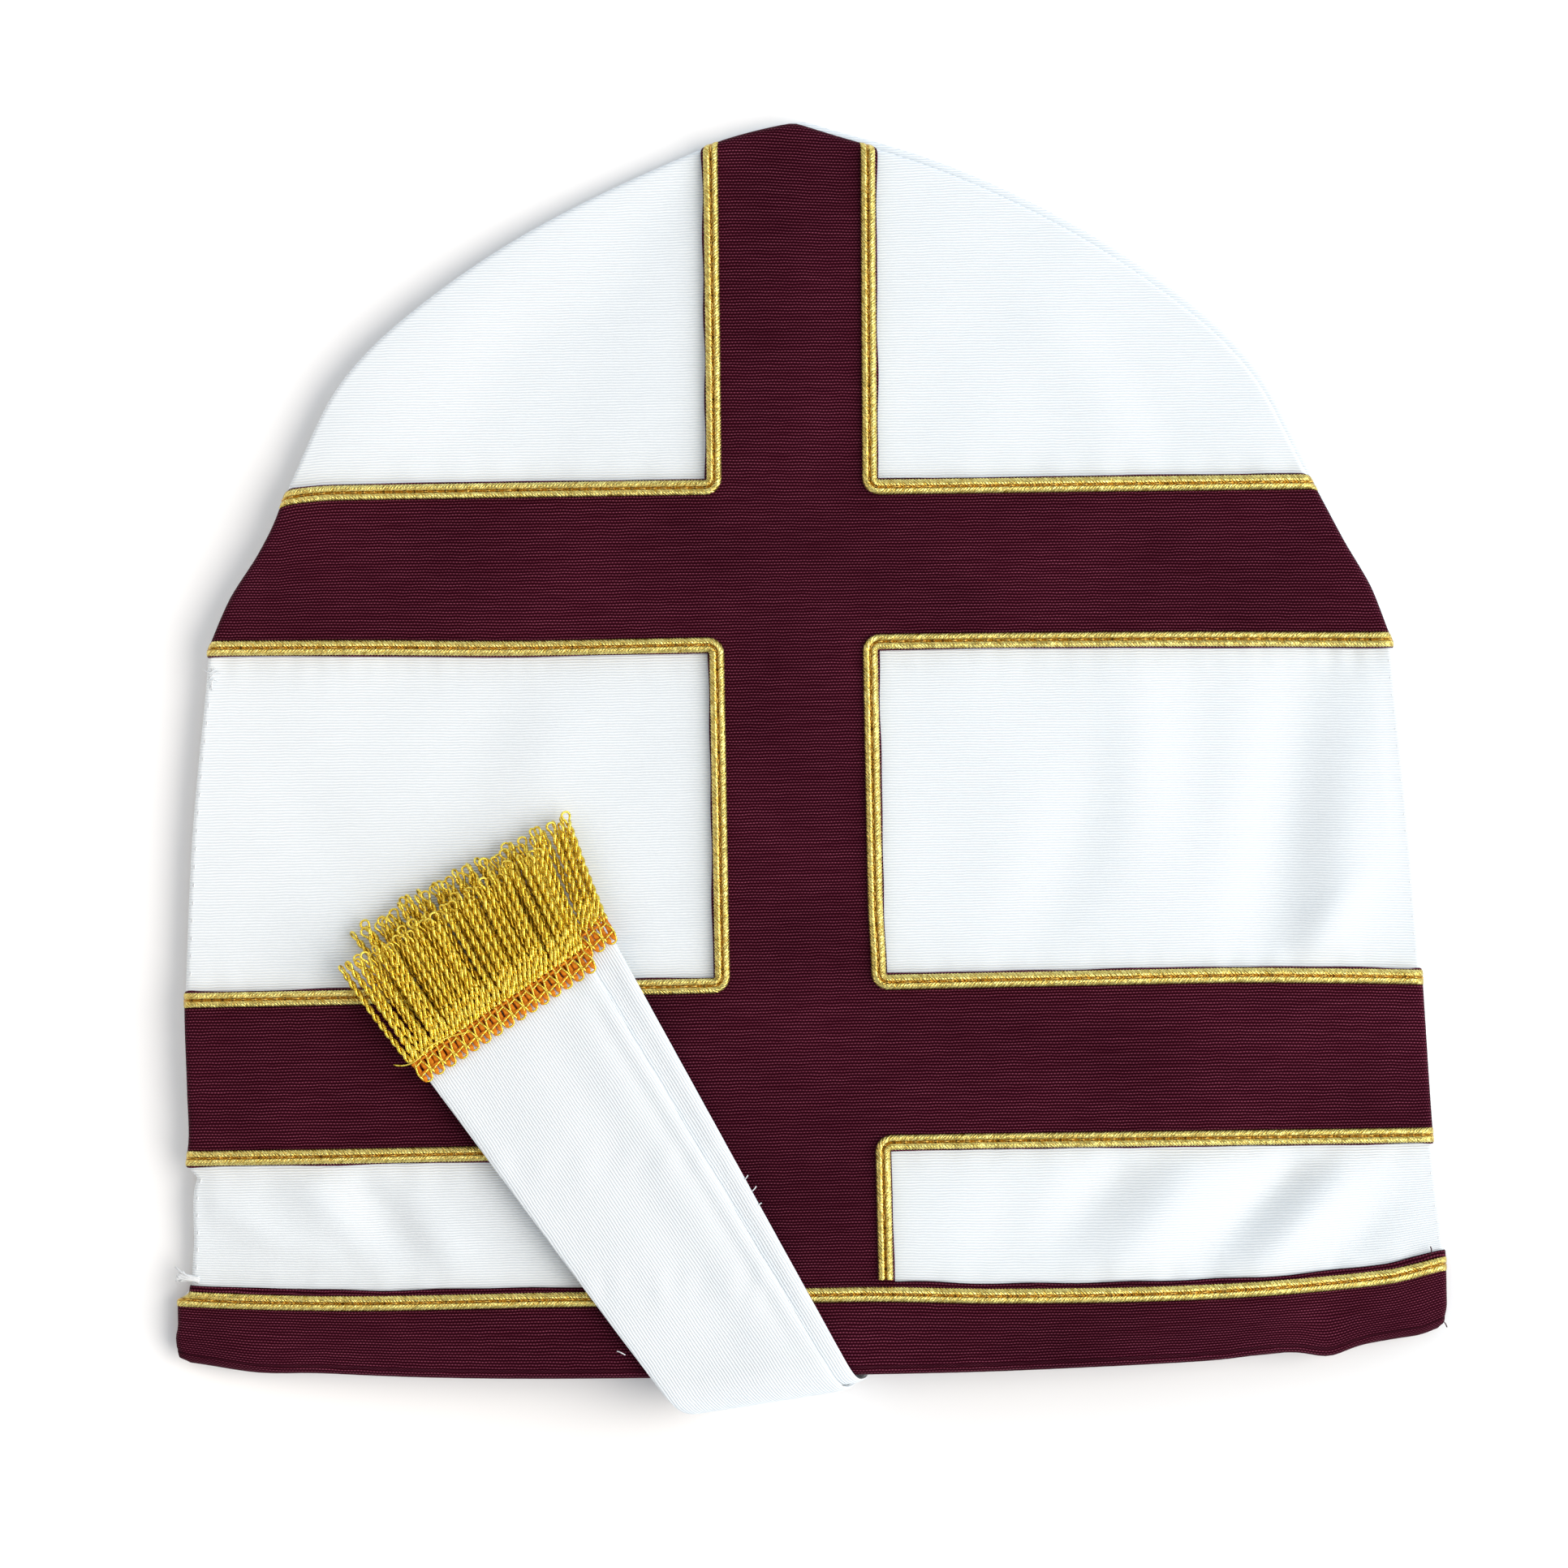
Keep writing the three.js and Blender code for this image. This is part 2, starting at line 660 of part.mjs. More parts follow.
export default mitre;
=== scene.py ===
import bpy
import numpy as np
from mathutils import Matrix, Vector


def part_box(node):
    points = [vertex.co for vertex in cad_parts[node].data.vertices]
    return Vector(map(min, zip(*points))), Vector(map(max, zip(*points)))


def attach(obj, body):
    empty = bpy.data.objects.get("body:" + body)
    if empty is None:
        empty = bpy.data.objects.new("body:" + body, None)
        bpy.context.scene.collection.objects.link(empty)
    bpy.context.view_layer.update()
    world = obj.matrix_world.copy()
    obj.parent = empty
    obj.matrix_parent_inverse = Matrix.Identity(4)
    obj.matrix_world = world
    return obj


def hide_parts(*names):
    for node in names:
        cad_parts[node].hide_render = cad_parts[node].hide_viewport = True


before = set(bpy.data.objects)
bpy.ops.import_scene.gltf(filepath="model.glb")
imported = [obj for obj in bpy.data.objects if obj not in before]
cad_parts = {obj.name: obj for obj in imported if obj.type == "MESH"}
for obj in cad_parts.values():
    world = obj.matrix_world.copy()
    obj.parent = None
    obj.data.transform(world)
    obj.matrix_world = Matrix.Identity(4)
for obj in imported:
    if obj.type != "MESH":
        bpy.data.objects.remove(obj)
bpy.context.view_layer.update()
mm = 0.001
uvUnit = 100.0  # millimetres of cloth to one unit of a UV map
print("frame loaded:", len(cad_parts), "nodes")


# Curves and waves

def smoothStep(value, start, end):  # 0 before start, 1 after end, an S-curve between them
    share = np.clip((value - start) / (end - start), 0, 1)
    return share * share * (3 - 2 * share)


def mix(start, end, share):  # straight from start at 0 to end at 1
    return start + (end - start) * share


def unit(vectors):  # each vector divided by its length
    return vectors / np.linalg.norm(vectors, axis=-1, keepdims=True)


def tableCurve(rows, value):
    # a cubic through the rows that never overshoots them: its slope at a row is the harmonic mean of the
    # slopes to either side
    at, height = np.array(rows, float).T
    secant = np.diff(height) / np.diff(at)
    product = secant[:-1] * secant[1:]
    total = np.where(product > 0, secant[:-1] + secant[1:], 1)
    slope = np.concatenate([secant[:1], np.where(product > 0, 2 * product / total, 0), secant[-1:]])
    value = np.clip(value, at[0], at[-1])
    k = np.clip(np.searchsorted(at, value, side="right") - 1, 0, len(at) - 2)
    span = at[k + 1] - at[k]
    t = (value - at[k]) / span
    bow = span * t * (1 - t) * (slope[k] * (1 - t) - slope[k + 1] * t)
    return height[k] + (height[k + 1] - height[k]) * t * t * (3 - 2 * t) + bow


def softWaves(x, y, length, seed):
    # seven plane waves of 0.7 to 1.6 times that length, in seeded directions, added up to about -1 to 1
    draw = np.random.default_rng(seed)
    total = np.zeros(np.broadcast(x, y).shape)
    for turn, phase, stretch in draw.uniform((0, 0, 0.7), (2 * np.pi, 2 * np.pi, 1.6), (7, 3)):
        total += np.sin(2 * np.pi * (x * np.cos(turn) + y * np.sin(turn)) / (length * stretch) + phase)
    return total / 4


# Shape of the two panels, the same as the solids have

panelLow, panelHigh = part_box("front_panel")
mitre = {
    "peakY": panelHigh.y / mm,
    "baseHalf": panelHigh.x / mm,
    "rimDrop": 296,  # peak to brow edge
    "shoulderDrop": 124, "shoulderHalf": 140,  # where the arch of the horn meets the sides
    "tipRadius": 1.3, "tipSlope": 0.295,  # the peak is rounded a little
    "wall": 2.0,
    "trimWall": 0.8,
    "clearance": 0.3,
    # drop and half width, down the horn, on past the shoulder, and down the sides
    "horn": [(0, 0), (6.5, 22), (23.6, 60.5), (45.3, 93), (60.4, 108), (85.7, 121.4), (100, 128.8),
             (111.8, 135.3), (124, 140)],
    "hornBeyond": (150, 150),
    "sides": [(124, 140), (182, 144.5), (244, 147.6), (276, 150), (283, 150), (287, 149), (290.5, 145.5)],
    "edgeSteps": 1500,
    "archRise": 13.5,
    "archPower": 2.4,
    "archLength": 110,
    "browFrom": 243,  # below this the brow edge's rise towards the sides sets in
    "browLift": (6, 8.3),  # at the left and at the right
    "browAcross": 4,
    "browDown": 1.8,
    "backRamp": (190, 270),  # the back rises here to make room for its band
    # drop, and how far the left edge stands off the floor. The rise starts at this share of the half width
    "leftRise": [(0, 0), (12, 1.2), (50, 3.6), (100, 4), (215, 3.8), (245, 2.2), (262, 0.9), (280, 0.3),
                 (296, 0)],
    "riseFrom": 0.45, "riseHalf": 20,
    "softHeight": 0.15, "softLength": 24, "softSeed": 3,  # unevenness of the cloth
}
folds = {
    "fade": 6,
    # drops of its field, x, drop, turn in degrees, half length, half width, height
    "rows": [
        (243, 275, -117, 251, -49, 14, 6, 1.4),
        (243, 275, -102, 255, -49, 16, 6, -1.6),
        (243, 275, -89, 262, -49, 13, 5, 1.0),
        (243, 275, -136, 257, -36, 12, 5, 1.2),
        (243, 275, -126, 267, -23, 16, 3.2, -0.6),
        (243, 275, -111, 267, -48, 9, 3, -0.4),
        (243, 275, 68, 254, 42, 17, 5.5, -2.0),
        (243, 275, 83, 259, 46, 20, 6.5, 2.2),
        (243, 278, 108, 254.5, 42, 21, 4.5, -3.0),
        (243, 278, 116, 262, 42, 19, 5, 2.6),
        (243, 278, 131, 264, 42, 10, 4, -1.2),
        (243, 275, 45, 264, 70, 14, 7, -0.6),
        (126, 202, 113, 168, 80, 36, 10, -2.7),
        (126, 202, 129, 172, 80, 30, 9, 1.3),
        (126, 202, 124, 191, 52, 14, 5, 1.4),
        (126, 202, 92, 156, 86, 26, 10, -1.1),
        (126, 202, 62, 178, 66, 26, 9, -1.2),
        (126, 202, 79, 148, 84, 20, 8, 0.8),
        (126, 202, -112, 170, -62, 22, 9, -0.5),
        (126, 202, -64, 152, 70, 22, 10, 0.6),
        (12, 84, 62, 52, -52, 24, 9, 0.6),
        (12, 84, 84, 70, -60, 16, 7, -0.6),
        (12, 84, -70, 58, 55, 22, 9, -0.6),
    ],
    # small puckers where the cloth is sewn under the trim: drops of the seams, height, length along them,
    # reach to either side, and how fast they change with the drop
    "seams": (83.5, 126, 202, 244.2, 274.5),
    "pucker": 0.2, "puckerLength": 7, "puckerReach": 4.5, "puckerSlant": 0.25,
}
wall = mitre["wall"]
halfWall = wall / 2
baseHalf = mitre["baseHalf"]
clearance = mitre["clearance"]
backSpace = mitre["trimWall"] + clearance
panelRim = mitre["rimDrop"] - halfWall - backSpace


def hornEdge(x):  # drop of the horn's edge at x, from the rounded peak to some way past the shoulder
    tip = mitre["tipSlope"] * (np.hypot(x, mitre["tipRadius"]) - np.abs(x))
    rows = [(half, drop) for drop, half in mitre["horn"] + [mitre["hornBeyond"]]]
    return tableCurve(rows, np.abs(x)) + tip


def sideHalf(drop):  # half the panel's width below the shoulder
    return tableCurve(mitre["sides"], drop)


def halfWidth(drop):  # the horn's edge read the other way round, and the sides below the shoulder
    x = np.linspace(0, mitre["shoulderHalf"], mitre["edgeSteps"])
    return np.where(drop < mitre["shoulderDrop"], np.interp(drop, hornEdge(x), x), sideHalf(drop))


def browLevel(level, x):  # a level line, lifted towards the sides as the brow edge is
    down = np.maximum(0, level - mitre["browFrom"]) / (mitre["rimDrop"] - mitre["browFrom"])
    lift = np.where(x < 0, *mitre["browLift"])
    return level - lift * np.abs(x / baseHalf) ** mitre["browAcross"] * down ** mitre["browDown"]


def foldHeight(x, drop):
    # each fold is a long bell curve, and dies away at the trim round its field and at the side seams
    fadeLength = folds["fade"]
    inside = smoothStep(halfWidth(drop) - np.abs(x), 0, fadeLength)
    total = mitre["softHeight"] * softWaves(x, drop, mitre["softLength"], mitre["softSeed"])
    for seam in folds["seams"]:
        reach = np.exp(-((np.abs(drop - seam) / folds["puckerReach"]) ** 2))
        waves = softWaves(x, folds["puckerSlant"] * drop, folds["puckerLength"], int(seam))
        total = total + folds["pucker"] * reach * waves
    for top, bottom, atX, atDrop, turn, length, width, height in folds["rows"]:
        fade = inside * smoothStep(drop, top, top + fadeLength) * smoothStep(bottom - drop, 0, fadeLength)
        c, s = np.cos(np.radians(turn)), np.sin(np.radians(turn))
        right, up = x - atX, atDrop - drop
        along = (right * c + up * s) / length
        across = (up * c - right * s) / width
        total = total + fade * height * np.exp(-along**2 - across**2)
    return total


def leftRise(x, drop):  # both panels rise together towards the left edge
    across = np.maximum(0, -x) / np.maximum(mitre["riseHalf"], halfWidth(drop))
    return tableCurve(mitre["leftRise"], drop) * smoothStep(across, mitre["riseFrom"], 1)


def backMiddle(x, drop):  # middle of the back's wall
    return backSpace * smoothStep(drop, *mitre["backRamp"]) + halfWall + leftRise(x, drop)


def frontMiddle(x, drop):
    # middle of the front's wall: it stands over the back in an arch that fades out towards the edges
    across = np.minimum(1, np.abs(x) / sideHalf(drop))
    below = np.maximum(0, drop - hornEdge(x))
    arch = (1 - across ** mitre["archPower"]) * (1 - np.exp(-below / mitre["archLength"]))
    return backMiddle(x, drop) + wall + clearance + mitre["archRise"] * arch + foldHeight(x, drop)


def frontTop(x, drop):  # half a wall above the front's middle
    return frontMiddle(x, drop) + halfWall


def pointAt(x, drop, z):  # its y is the peak's less the drop
    return np.stack(np.broadcast_arrays(x, mitre["peakY"] - drop, z), -1)


slips = {
    # drop of a line of trim, and how far below it the line was sewn, at x
    "lines": [
        (0, [(-150, 0), (150, 0)]),
        (86.2, [(-124, 1.2), (-117, 0.1), (-110, -0.3), (-20, 0), (20, 0.6), (120, 0.9)]),
        (123.4, [(-135, -1.3), (-105, -0.9), (-60, 0), (20, -0.1), (85, 0.4), (135, 1.3)]),
        (204.4, [(-145, 0.8), (-112, 0.7), (-35, -0.6), (95, -0.9), (130, -0.1), (146, 0.5)]),
        (241.6, [(-145, 1), (-85, 0.8), (20, -0.3), (146, 0.6)]),
        (277.8, [(-148, 0.9), (-110, 0.3), (-60, -0.7), (10, -0.9), (45, 0.2), (95, 0.8), (135, 0.4),
                 (149, -1.2)]),
        (296, [(-150, 0), (150, 0)]),
    ],
    # the peak leans, less and less over this x and these drops
    "peakLean": 0.08, "peakReach": 22, "peakFade": (8, 50),
    # drop, and how far the left seam was sewn to the right, which sets in over these x on the left
    "leftSeam": [(84, 0), (95, 1), (110, 0.7), (122, 0.1), (135, -0.2), (150, -0.8), (172, -1.3),
                 (200, -1.3), (226, 0), (237, 0.7), (243.8, 0.3), (244.6, 2.9), (250, 2.1), (256, 2.5),
                 (262, 3.1), (270, 3.1), (273.6, 2.8), (275.2, 0.1)],
    "seamFade": (75, 138),
    # x of each of the band's braids, drop and how far it was sewn to the right, and its reach either way
    "braids": [
        (-20, [(0, 0.5), (50, 0.3), (90, 0)]),
        (17, [(0, 0.5), (38, 0), (80, -0.4), (128, -1), (185, -0.9), (200, -0.4), (270, 0)]),
    ],
    "braidReach": (30, 60),
}


def sewnPoint(x, drop, z, more=0):
    # each line's slip runs over smoothly into the next line's, and the seam's and braids' die away from them
    at = np.array([line for line, rows in slips["lines"]])
    slip = np.stack([tableCurve(rows, x) for line, rows in slips["lines"]])
    k = np.clip(np.searchsorted(at, drop, side="right") - 1, 0, len(at) - 2)
    above = np.take_along_axis(slip, k[None], 0)[0]
    below = np.take_along_axis(slip, k[None] + 1, 0)[0]
    down = mix(above, below, smoothStep(drop, at[k], at[k + 1]))
    lean = slips["peakLean"] * x * np.exp(-((x / slips["peakReach"]) ** 2))
    lean = lean * (1 - smoothStep(drop, *slips["peakFade"]))
    right = tableCurve(slips["leftSeam"], drop) * smoothStep(-x, *slips["seamFade"])
    before, after = slips["braidReach"]
    for middle, rows in slips["braids"]:
        near = smoothStep(x, middle - before, middle) * (1 - smoothStep(x, middle, middle + after))
        right = right + tableCurve(rows, drop) * near
    return pointAt(x + right, drop + down + lean + more, z)


def outlineAt(x, drop):
    # distance in from the panel's edge, and the way out of it in x and drop, from the slopes of the horn's
    # edge and of the sides
    small = 0.05
    side = np.where(x < 0, -1.0, 1.0)
    slope = (hornEdge(np.abs(x) + small) - hornEdge(np.maximum(0, np.abs(x) - small))) / (2 * small)
    lean = (sideHalf(drop + small) - sideHalf(drop - small)) / (2 * small)
    hornScale, sideScale = np.hypot(1, slope), np.hypot(1, lean)
    fromHorn = (drop - hornEdge(x)) / hornScale
    fromSide = (sideHalf(drop) - np.abs(x)) / sideScale
    horn = fromHorn < fromSide
    outX = side * np.where(horn, slope / hornScale, 1 / sideScale)
    outDrop = -np.where(horn, 1 / hornScale, lean / sideScale)
    return np.where(horn, fromHorn, fromSide), outX, outDrop


edgeTurn = 1.7  # length of cloth that goes round a panel's edge in one radian
edgeShare = 0.35  # how much of its height a trim keeps where it is drawn tight round that edge


def aroundPanel(middle, x, drop, height, more=0):
    # a point at that height from the middle of a panel's wall. Past the panel's edge it turns about the
    # wall's middle, then runs straight on. More is how far below its drop it lies, as round the brow's rim.
    outer = 1 if middle is frontMiddle else -1
    distance, outX, outDrop = outlineAt(x, drop)
    past = np.maximum(0, halfWall - distance)
    angle = np.minimum(past / edgeTurn, np.pi / 2)
    startX, startDrop = x - outX * past, drop - outDrop * past
    far = np.minimum(np.abs(height), halfWall) + edgeShare * np.maximum(0, np.abs(height) - halfWall)
    out = outer * np.sign(height) * far * np.sin(angle)
    down = np.maximum(0, past - edgeTurn * np.pi / 2)
    z = middle(startX, startDrop) + height * np.cos(angle) - outer * down
    return sewnPoint(startX + outX * out, startDrop + outDrop * out, z, more)


def onFront(x, drop, lift):  # a point lifted off the front's face
    return aroundPanel(frontMiddle, x, drop, halfWall + lift)


# Meshes from arrays

def gridQuads(index, cells):  # a face from the four corners of each kept cell
    corners = np.stack([index[:-1, :-1], index[1:, :-1], index[1:, 1:], index[:-1, 1:]], -1)
    return corners[cells]


def clothShell(upper, lower, cloth, cells=None):
    # two faces over a grid, rows down and columns to the right, which share their points along the outline
    rows, columns = upper.shape[:2]
    if cells is None:
        cells = np.ones((rows - 1, columns - 1), bool)
    index = np.arange(rows * columns).reshape(rows, columns)
    ringed = np.pad(cells, 1)
    inside = ringed[:-1, :-1] & ringed[:-1, 1:] & ringed[1:, :-1] & ringed[1:, 1:]
    under = np.where(inside, index + rows * columns, index)
    quads = np.concatenate([gridQuads(index, cells), gridQuads(under, cells)[:, ::-1]])
    used, compact = np.unique(quads, return_inverse=True)
    points = np.concatenate([upper.reshape(-1, 3), lower.reshape(-1, 3)])[used]
    flat = np.tile(cloth.reshape(-1, 2) / uvUnit, (2, 1))[used]
    quads = compact.reshape(-1, 4)
    return {"points": points, "quads": quads, "triangles": np.empty((0, 3), int), "uv": flat[quads.ravel()]}


def roundEdge(distance, radius):  # 0 at an edge, 1 a radius in from it, a quarter circle between them
    return np.sqrt(1 - (1 - np.clip(distance / radius, 0, 1)) ** 2)


def tubeFaces(steps, sides):
    # quads from ring to ring, and at either end triangles to a point that follows the rings
    index = np.arange(steps * sides).reshape(steps, sides)
    beside = np.roll(index, -1, 1)
    quads = np.stack([index[:-1], beside[:-1], beside[1:], index[1:]], -1).reshape(-1, 4)
    first, last = np.full(sides, steps * sides), np.full(sides, steps * sides + 1)
    triangles = np.concatenate([
        np.stack([first, beside[0], index[0]], -1), np.stack([last, index[-1], beside[-1]], -1)])
    return quads, triangles


def tubes(paths, radius, sides):
    # rings round each path, in a frame that is carried along it without twisting, closed by a point at each
    # end. Paths have the shape (count, steps, 3). The UV is the share round a tube and the length along it.
    count, steps = paths.shape[:2]
    radius = np.broadcast_to(np.asarray(radius, float), (count, steps))
    offAxis = (0.31, 0.17, 0.93)  # a direction that no path starts in
    tangent = unit(np.gradient(paths, axis=1))
    normal = np.empty_like(paths)
    normal[:, 0] = unit(np.cross(tangent[:, 0], offAxis))
    for k in range(1, steps):
        carried = normal[:, k - 1]
        normal[:, k] = unit(carried - np.sum(carried * tangent[:, k], -1, keepdims=True) * tangent[:, k])
    binormal = np.cross(tangent, normal)
    angle = np.linspace(0, 2 * np.pi, sides, endpoint=False)[:, None]
    rings = paths[:, :, None] + radius[:, :, None, None] * (
        np.cos(angle) * normal[:, :, None] + np.sin(angle) * binormal[:, :, None])
    points = np.concatenate([rings.reshape(count, -1, 3), paths[:, [0, -1]]], 1)
    quads, triangles = tubeFaces(steps, sides)
    start = np.arange(count)[:, None, None] * points.shape[1]
    along = np.cumsum(np.linalg.norm(np.diff(paths, axis=1, prepend=paths[:, :1]), axis=2), 1) / uvUnit
    turn = np.arange(sides) / sides
    around = np.stack([turn, turn + 1 / sides, turn + 1 / sides, turn], -1)
    around = np.broadcast_to(around, (count, steps - 1, sides, 4))
    length = np.stack([along[:, :-1], along[:, :-1], along[:, 1:], along[:, 1:]], -1)
    length = np.broadcast_to(length[:, :, None], around.shape)
    wallUv = np.stack([around, length], -1).reshape(-1, 2)
    endLength = np.repeat(along[:, [0, -1]], 3 * sides, 1)
    endUv = np.stack([np.full(endLength.shape, 0.5), endLength], -1).reshape(-1, 2)
    return {
        "points": points.reshape(-1, 3),
        "quads": (quads + start).reshape(-1, 4),
        "triangles": (triangles + start).reshape(-1, 3),
        "uv": np.concatenate([wallUv, endUv]),
    }


def joined(*meshes):  # several arrays of points and faces as one
    starts = np.cumsum([0] + [len(m["points"]) for m in meshes])
    corners = [4 * len(m["quads"]) for m in meshes]
    return {
        "points": np.concatenate([m["points"] for m in meshes]),
        "quads": np.concatenate([m["quads"] + s for m, s in zip(meshes, starts)]),
        "triangles": np.concatenate([m["triangles"] + s for m, s in zip(meshes, starts)]),
        "uv": np.concatenate([m["uv"][:c] for m, c in zip(meshes, corners)]
                             + [m["uv"][c:] for m, c in zip(meshes, corners)]),
    }


def placeObject(name, data):  # a new object in the scene
    thing = bpy.data.objects.new(name, data)
    bpy.context.scene.collection.objects.link(thing)
    return thing


def makePiece(name, shape, material, stands=()):
    # points and faces as a smooth mesh that rides on the root and stands for the named solids
    mesh = bpy.data.meshes.new(name)
    corners = np.concatenate([shape["quads"].ravel(), shape["triangles"].ravel()]).astype(np.int32)
    fours, threes = len(shape["quads"]), len(shape["triangles"])
    starts = np.concatenate([np.arange(fours) * 4, fours * 4 + np.arange(threes) * 3]).astype(np.int32)
    mesh.vertices.add(len(shape["points"]))
    mesh.loops.add(len(corners))
    mesh.polygons.add(fours + threes)
    mesh.vertices.foreach_set("co", (shape["points"] * mm).astype(np.float32).ravel())
    mesh.loops.foreach_set("vertex_index", corners)
    mesh.polygons.foreach_set("loop_start", starts)
    mesh.polygons.foreach_set("use_smooth", np.ones(fours + threes, bool))
    mesh.uv_layers.new(name="cloth").data.foreach_set("uv", shape["uv"].astype(np.float32).ravel())
    mesh.update(calc_edges=True)
    mesh.validate()
    mesh.materials.append(material)
    piece = placeObject(name, mesh)
    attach(piece, "root")
    if stands:
        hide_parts(*stands)
    print("made", name, 2 * fours + threes, "triangles")
    return piece


# Material nodes

def feed(tree, node, inputs):  # links each input to a socket, or sets its value
    for socket, value in inputs.items():
        if isinstance(value, bpy.types.NodeSocket):
            tree.links.new(value, node.inputs[socket])
        else:
            node.inputs[socket].default_value = value


def addNode(tree, kind, inputs=None, **settings):  # a node with its settings and inputs
    node = tree.nodes.new(kind)
    for name, value in settings.items():
        setattr(node, name, value)
    feed(tree, node, inputs or {})
    return node


def calc(tree, operation, first, second=0.0, third=0.0):  # one step of arithmetic
    inputs = {0: first, 1: second, 2: third}
    return addNode(tree, "ShaderNodeMath", inputs, operation=operation).outputs[0]


def blendColors(tree, share, first, second):  # the first colour at 0, the second at 1
    inputs = {0: share, 6: first, 7: second}  # the factor and the two colours among the node's many inputs
    return addNode(tree, "ShaderNodeMix", inputs, data_type="RGBA").outputs[2]


def noise(tree, place, scale, detail):  # soft noise between 0 and 1
    inputs = {"Vector": place, "Scale": scale, "Detail": detail}
    return addNode(tree, "ShaderNodeTexNoise", inputs).outputs["Fac"]


def stretched(tree, place, factors):  # a place multiplied by a factor along each axis
    return addNode(tree, "ShaderNodeVectorMath", {0: place, 1: factors}, operation="MULTIPLY").outputs[0]


def ranged(tree, value, low, high, start=0.0, end=1.0, **settings):  # low to high becomes start to end
    inputs = {0: value, 1: low, 2: high, 3: start, 4: end}
    return addNode(tree, "ShaderNodeMapRange", inputs, **settings).outputs[0]


def clamped(tree, value):  # no less than 0 and no more than 1
    return addNode(tree, "ShaderNodeClamp", {0: value}).outputs[0]


def cosineWave(tree, turns, half):
    # a wave between 0 and 1, one to a turn, that starts at 1 if half is 0.5 and at 0 if it is -0.5
    wave = calc(tree, "COSINE", calc(tree, "MULTIPLY", turns, 2 * np.pi))
    return calc(tree, "MULTIPLY_ADD", wave, half, 0.5)


def clothParts(tree, cloth):  # millimetres across and along, from a UV map
    parts = addNode(tree, "ShaderNodeSeparateXYZ", {0: cloth}).outputs
    return calc(tree, "MULTIPLY", parts[0], uvUnit), calc(tree, "MULTIPLY", parts[1], uvUnit)


def startGroup(name, inputs, outputs):  # an empty group, what is given to it, and its output node
    tree = bpy.data.node_groups.new(name, "ShaderNodeTree")
    for title, kind, default in inputs:
        socket = tree.interface.new_socket(name=title, in_out="INPUT", socket_type=kind)
        if default is not None:
            socket.default_value = default
    for title in outputs:
        tree.interface.new_socket(name=title, in_out="OUTPUT", socket_type="NodeSocketFloat")
    return tree, addNode(tree, "NodeGroupInput").outputs, addNode(tree, "NodeGroupOutput")


weave = {
    "wanderScale": 22.0, "wander": 0.7,  # the ribs wander a little
    "slubScale": (9.0, 260.0, 1.0),  # long streaks of thicker and thinner yarn
}


def ribWeave():
    # ribs across the cloth's second direction, each a row of knots, half a knot on from the row before
    tree, given, made = startGroup("rib weave", [
        ("Cloth", "NodeSocketVector", None),
        ("Rib", "NodeSocketFloat", 0.65),
        ("Knot", "NodeSocketFloat", 0.4),
        ("Knot Depth", "NodeSocketFloat", 0.2),
    ], ["Height", "Slub"])
    across, down = clothParts(tree, given["Cloth"])
    across = calc(tree, "DIVIDE", across, given["Knot"])
    down = calc(tree, "DIVIDE", down, given["Rib"])
    wander = noise(tree, given["Cloth"], weave["wanderScale"], detail=2.0)
    down = calc(tree, "MULTIPLY_ADD", wander, weave["wander"], down)
    rib = cosineWave(tree, down, -0.5)
    knot = cosineWave(tree, calc(tree, "MULTIPLY_ADD", calc(tree, "FLOOR", down), 0.5, across), 0.5)
    gap = calc(tree, "MULTIPLY", calc(tree, "SUBTRACT", 1.0, knot), given["Knot Depth"])
    height = calc(tree, "MULTIPLY", rib, calc(tree, "SUBTRACT", 1.0, gap))
    slub = noise(tree, stretched(tree, given["Cloth"], weave["slubScale"]), scale=1.0, detail=3.0)
    feed(tree, made, {"Height": height, "Slub": slub})
    return tree


def windings():
    # thread wound on a core: slanting turns of a given pitch, and a shade of its own for each turn
    tree, given, made = startGroup("windings", [
        ("Around", "NodeSocketFloat", 0.0),
        ("Along", "NodeSocketFloat", 0.0),
        ("Pitch", "NodeSocketFloat", 0.4),
    ], ["Height", "Shade"])
    turns = calc(tree, "ADD", calc(tree, "DIVIDE", given["Along"], given["Pitch"]), given["Around"])
    number = calc(tree, "FLOOR", turns)
    shade = addNode(tree, "ShaderNodeTexWhiteNoise", {"W": number}, noise_dimensions="1D")
    feed(tree, made, {"Height": cosineWave(tree, turns, -0.5), "Shade": shade.outputs["Value"]})
    return tree


weaveGroup = ribWeave()
windingGroup = windings()


def ribbed(tree, cloth, look):  # the rib weave in a cloth's own sizes
    inputs = {"Cloth": cloth, "Rib": look["rib"], "Knot": look["knot"], "Knot Depth": look["knotDepth"]}
    return addNode(tree, "ShaderNodeGroup", inputs, node_tree=weaveGroup).outputs


def wound(tree, around, along, look):  # the windings in a thread's own pitch
    inputs = {"Around": around, "Along": along, "Pitch": look["pitch"]}
    return addNode(tree, "ShaderNodeGroup", inputs, node_tree=windingGroup).outputs


def startMaterial(name):  # a material, its nodes, its shader and its UV map
    material = bpy.data.materials.new(name)
    material.use_nodes = True
    tree = material.node_tree
    tree.nodes.clear()
    shader = addNode(tree, "ShaderNodeBsdfPrincipled")
    output = addNode(tree, "ShaderNodeOutputMaterial", {"Surface": shader.outputs[0]})
    output.is_active_output = True
    cloth = addNode(tree, "ShaderNodeUVMap", uv_map="cloth").outputs[0]
    return material, tree, shader, cloth


def addBump(tree, shader, height, distance, strength=1.0):  # a distance in millimetres
    inputs = {"Height": height, "Distance": distance * mm, "Strength": strength}
    feed(tree, shader, {"Normal": addNode(tree, "ShaderNodeBump", inputs).outputs[0]})


# Materials

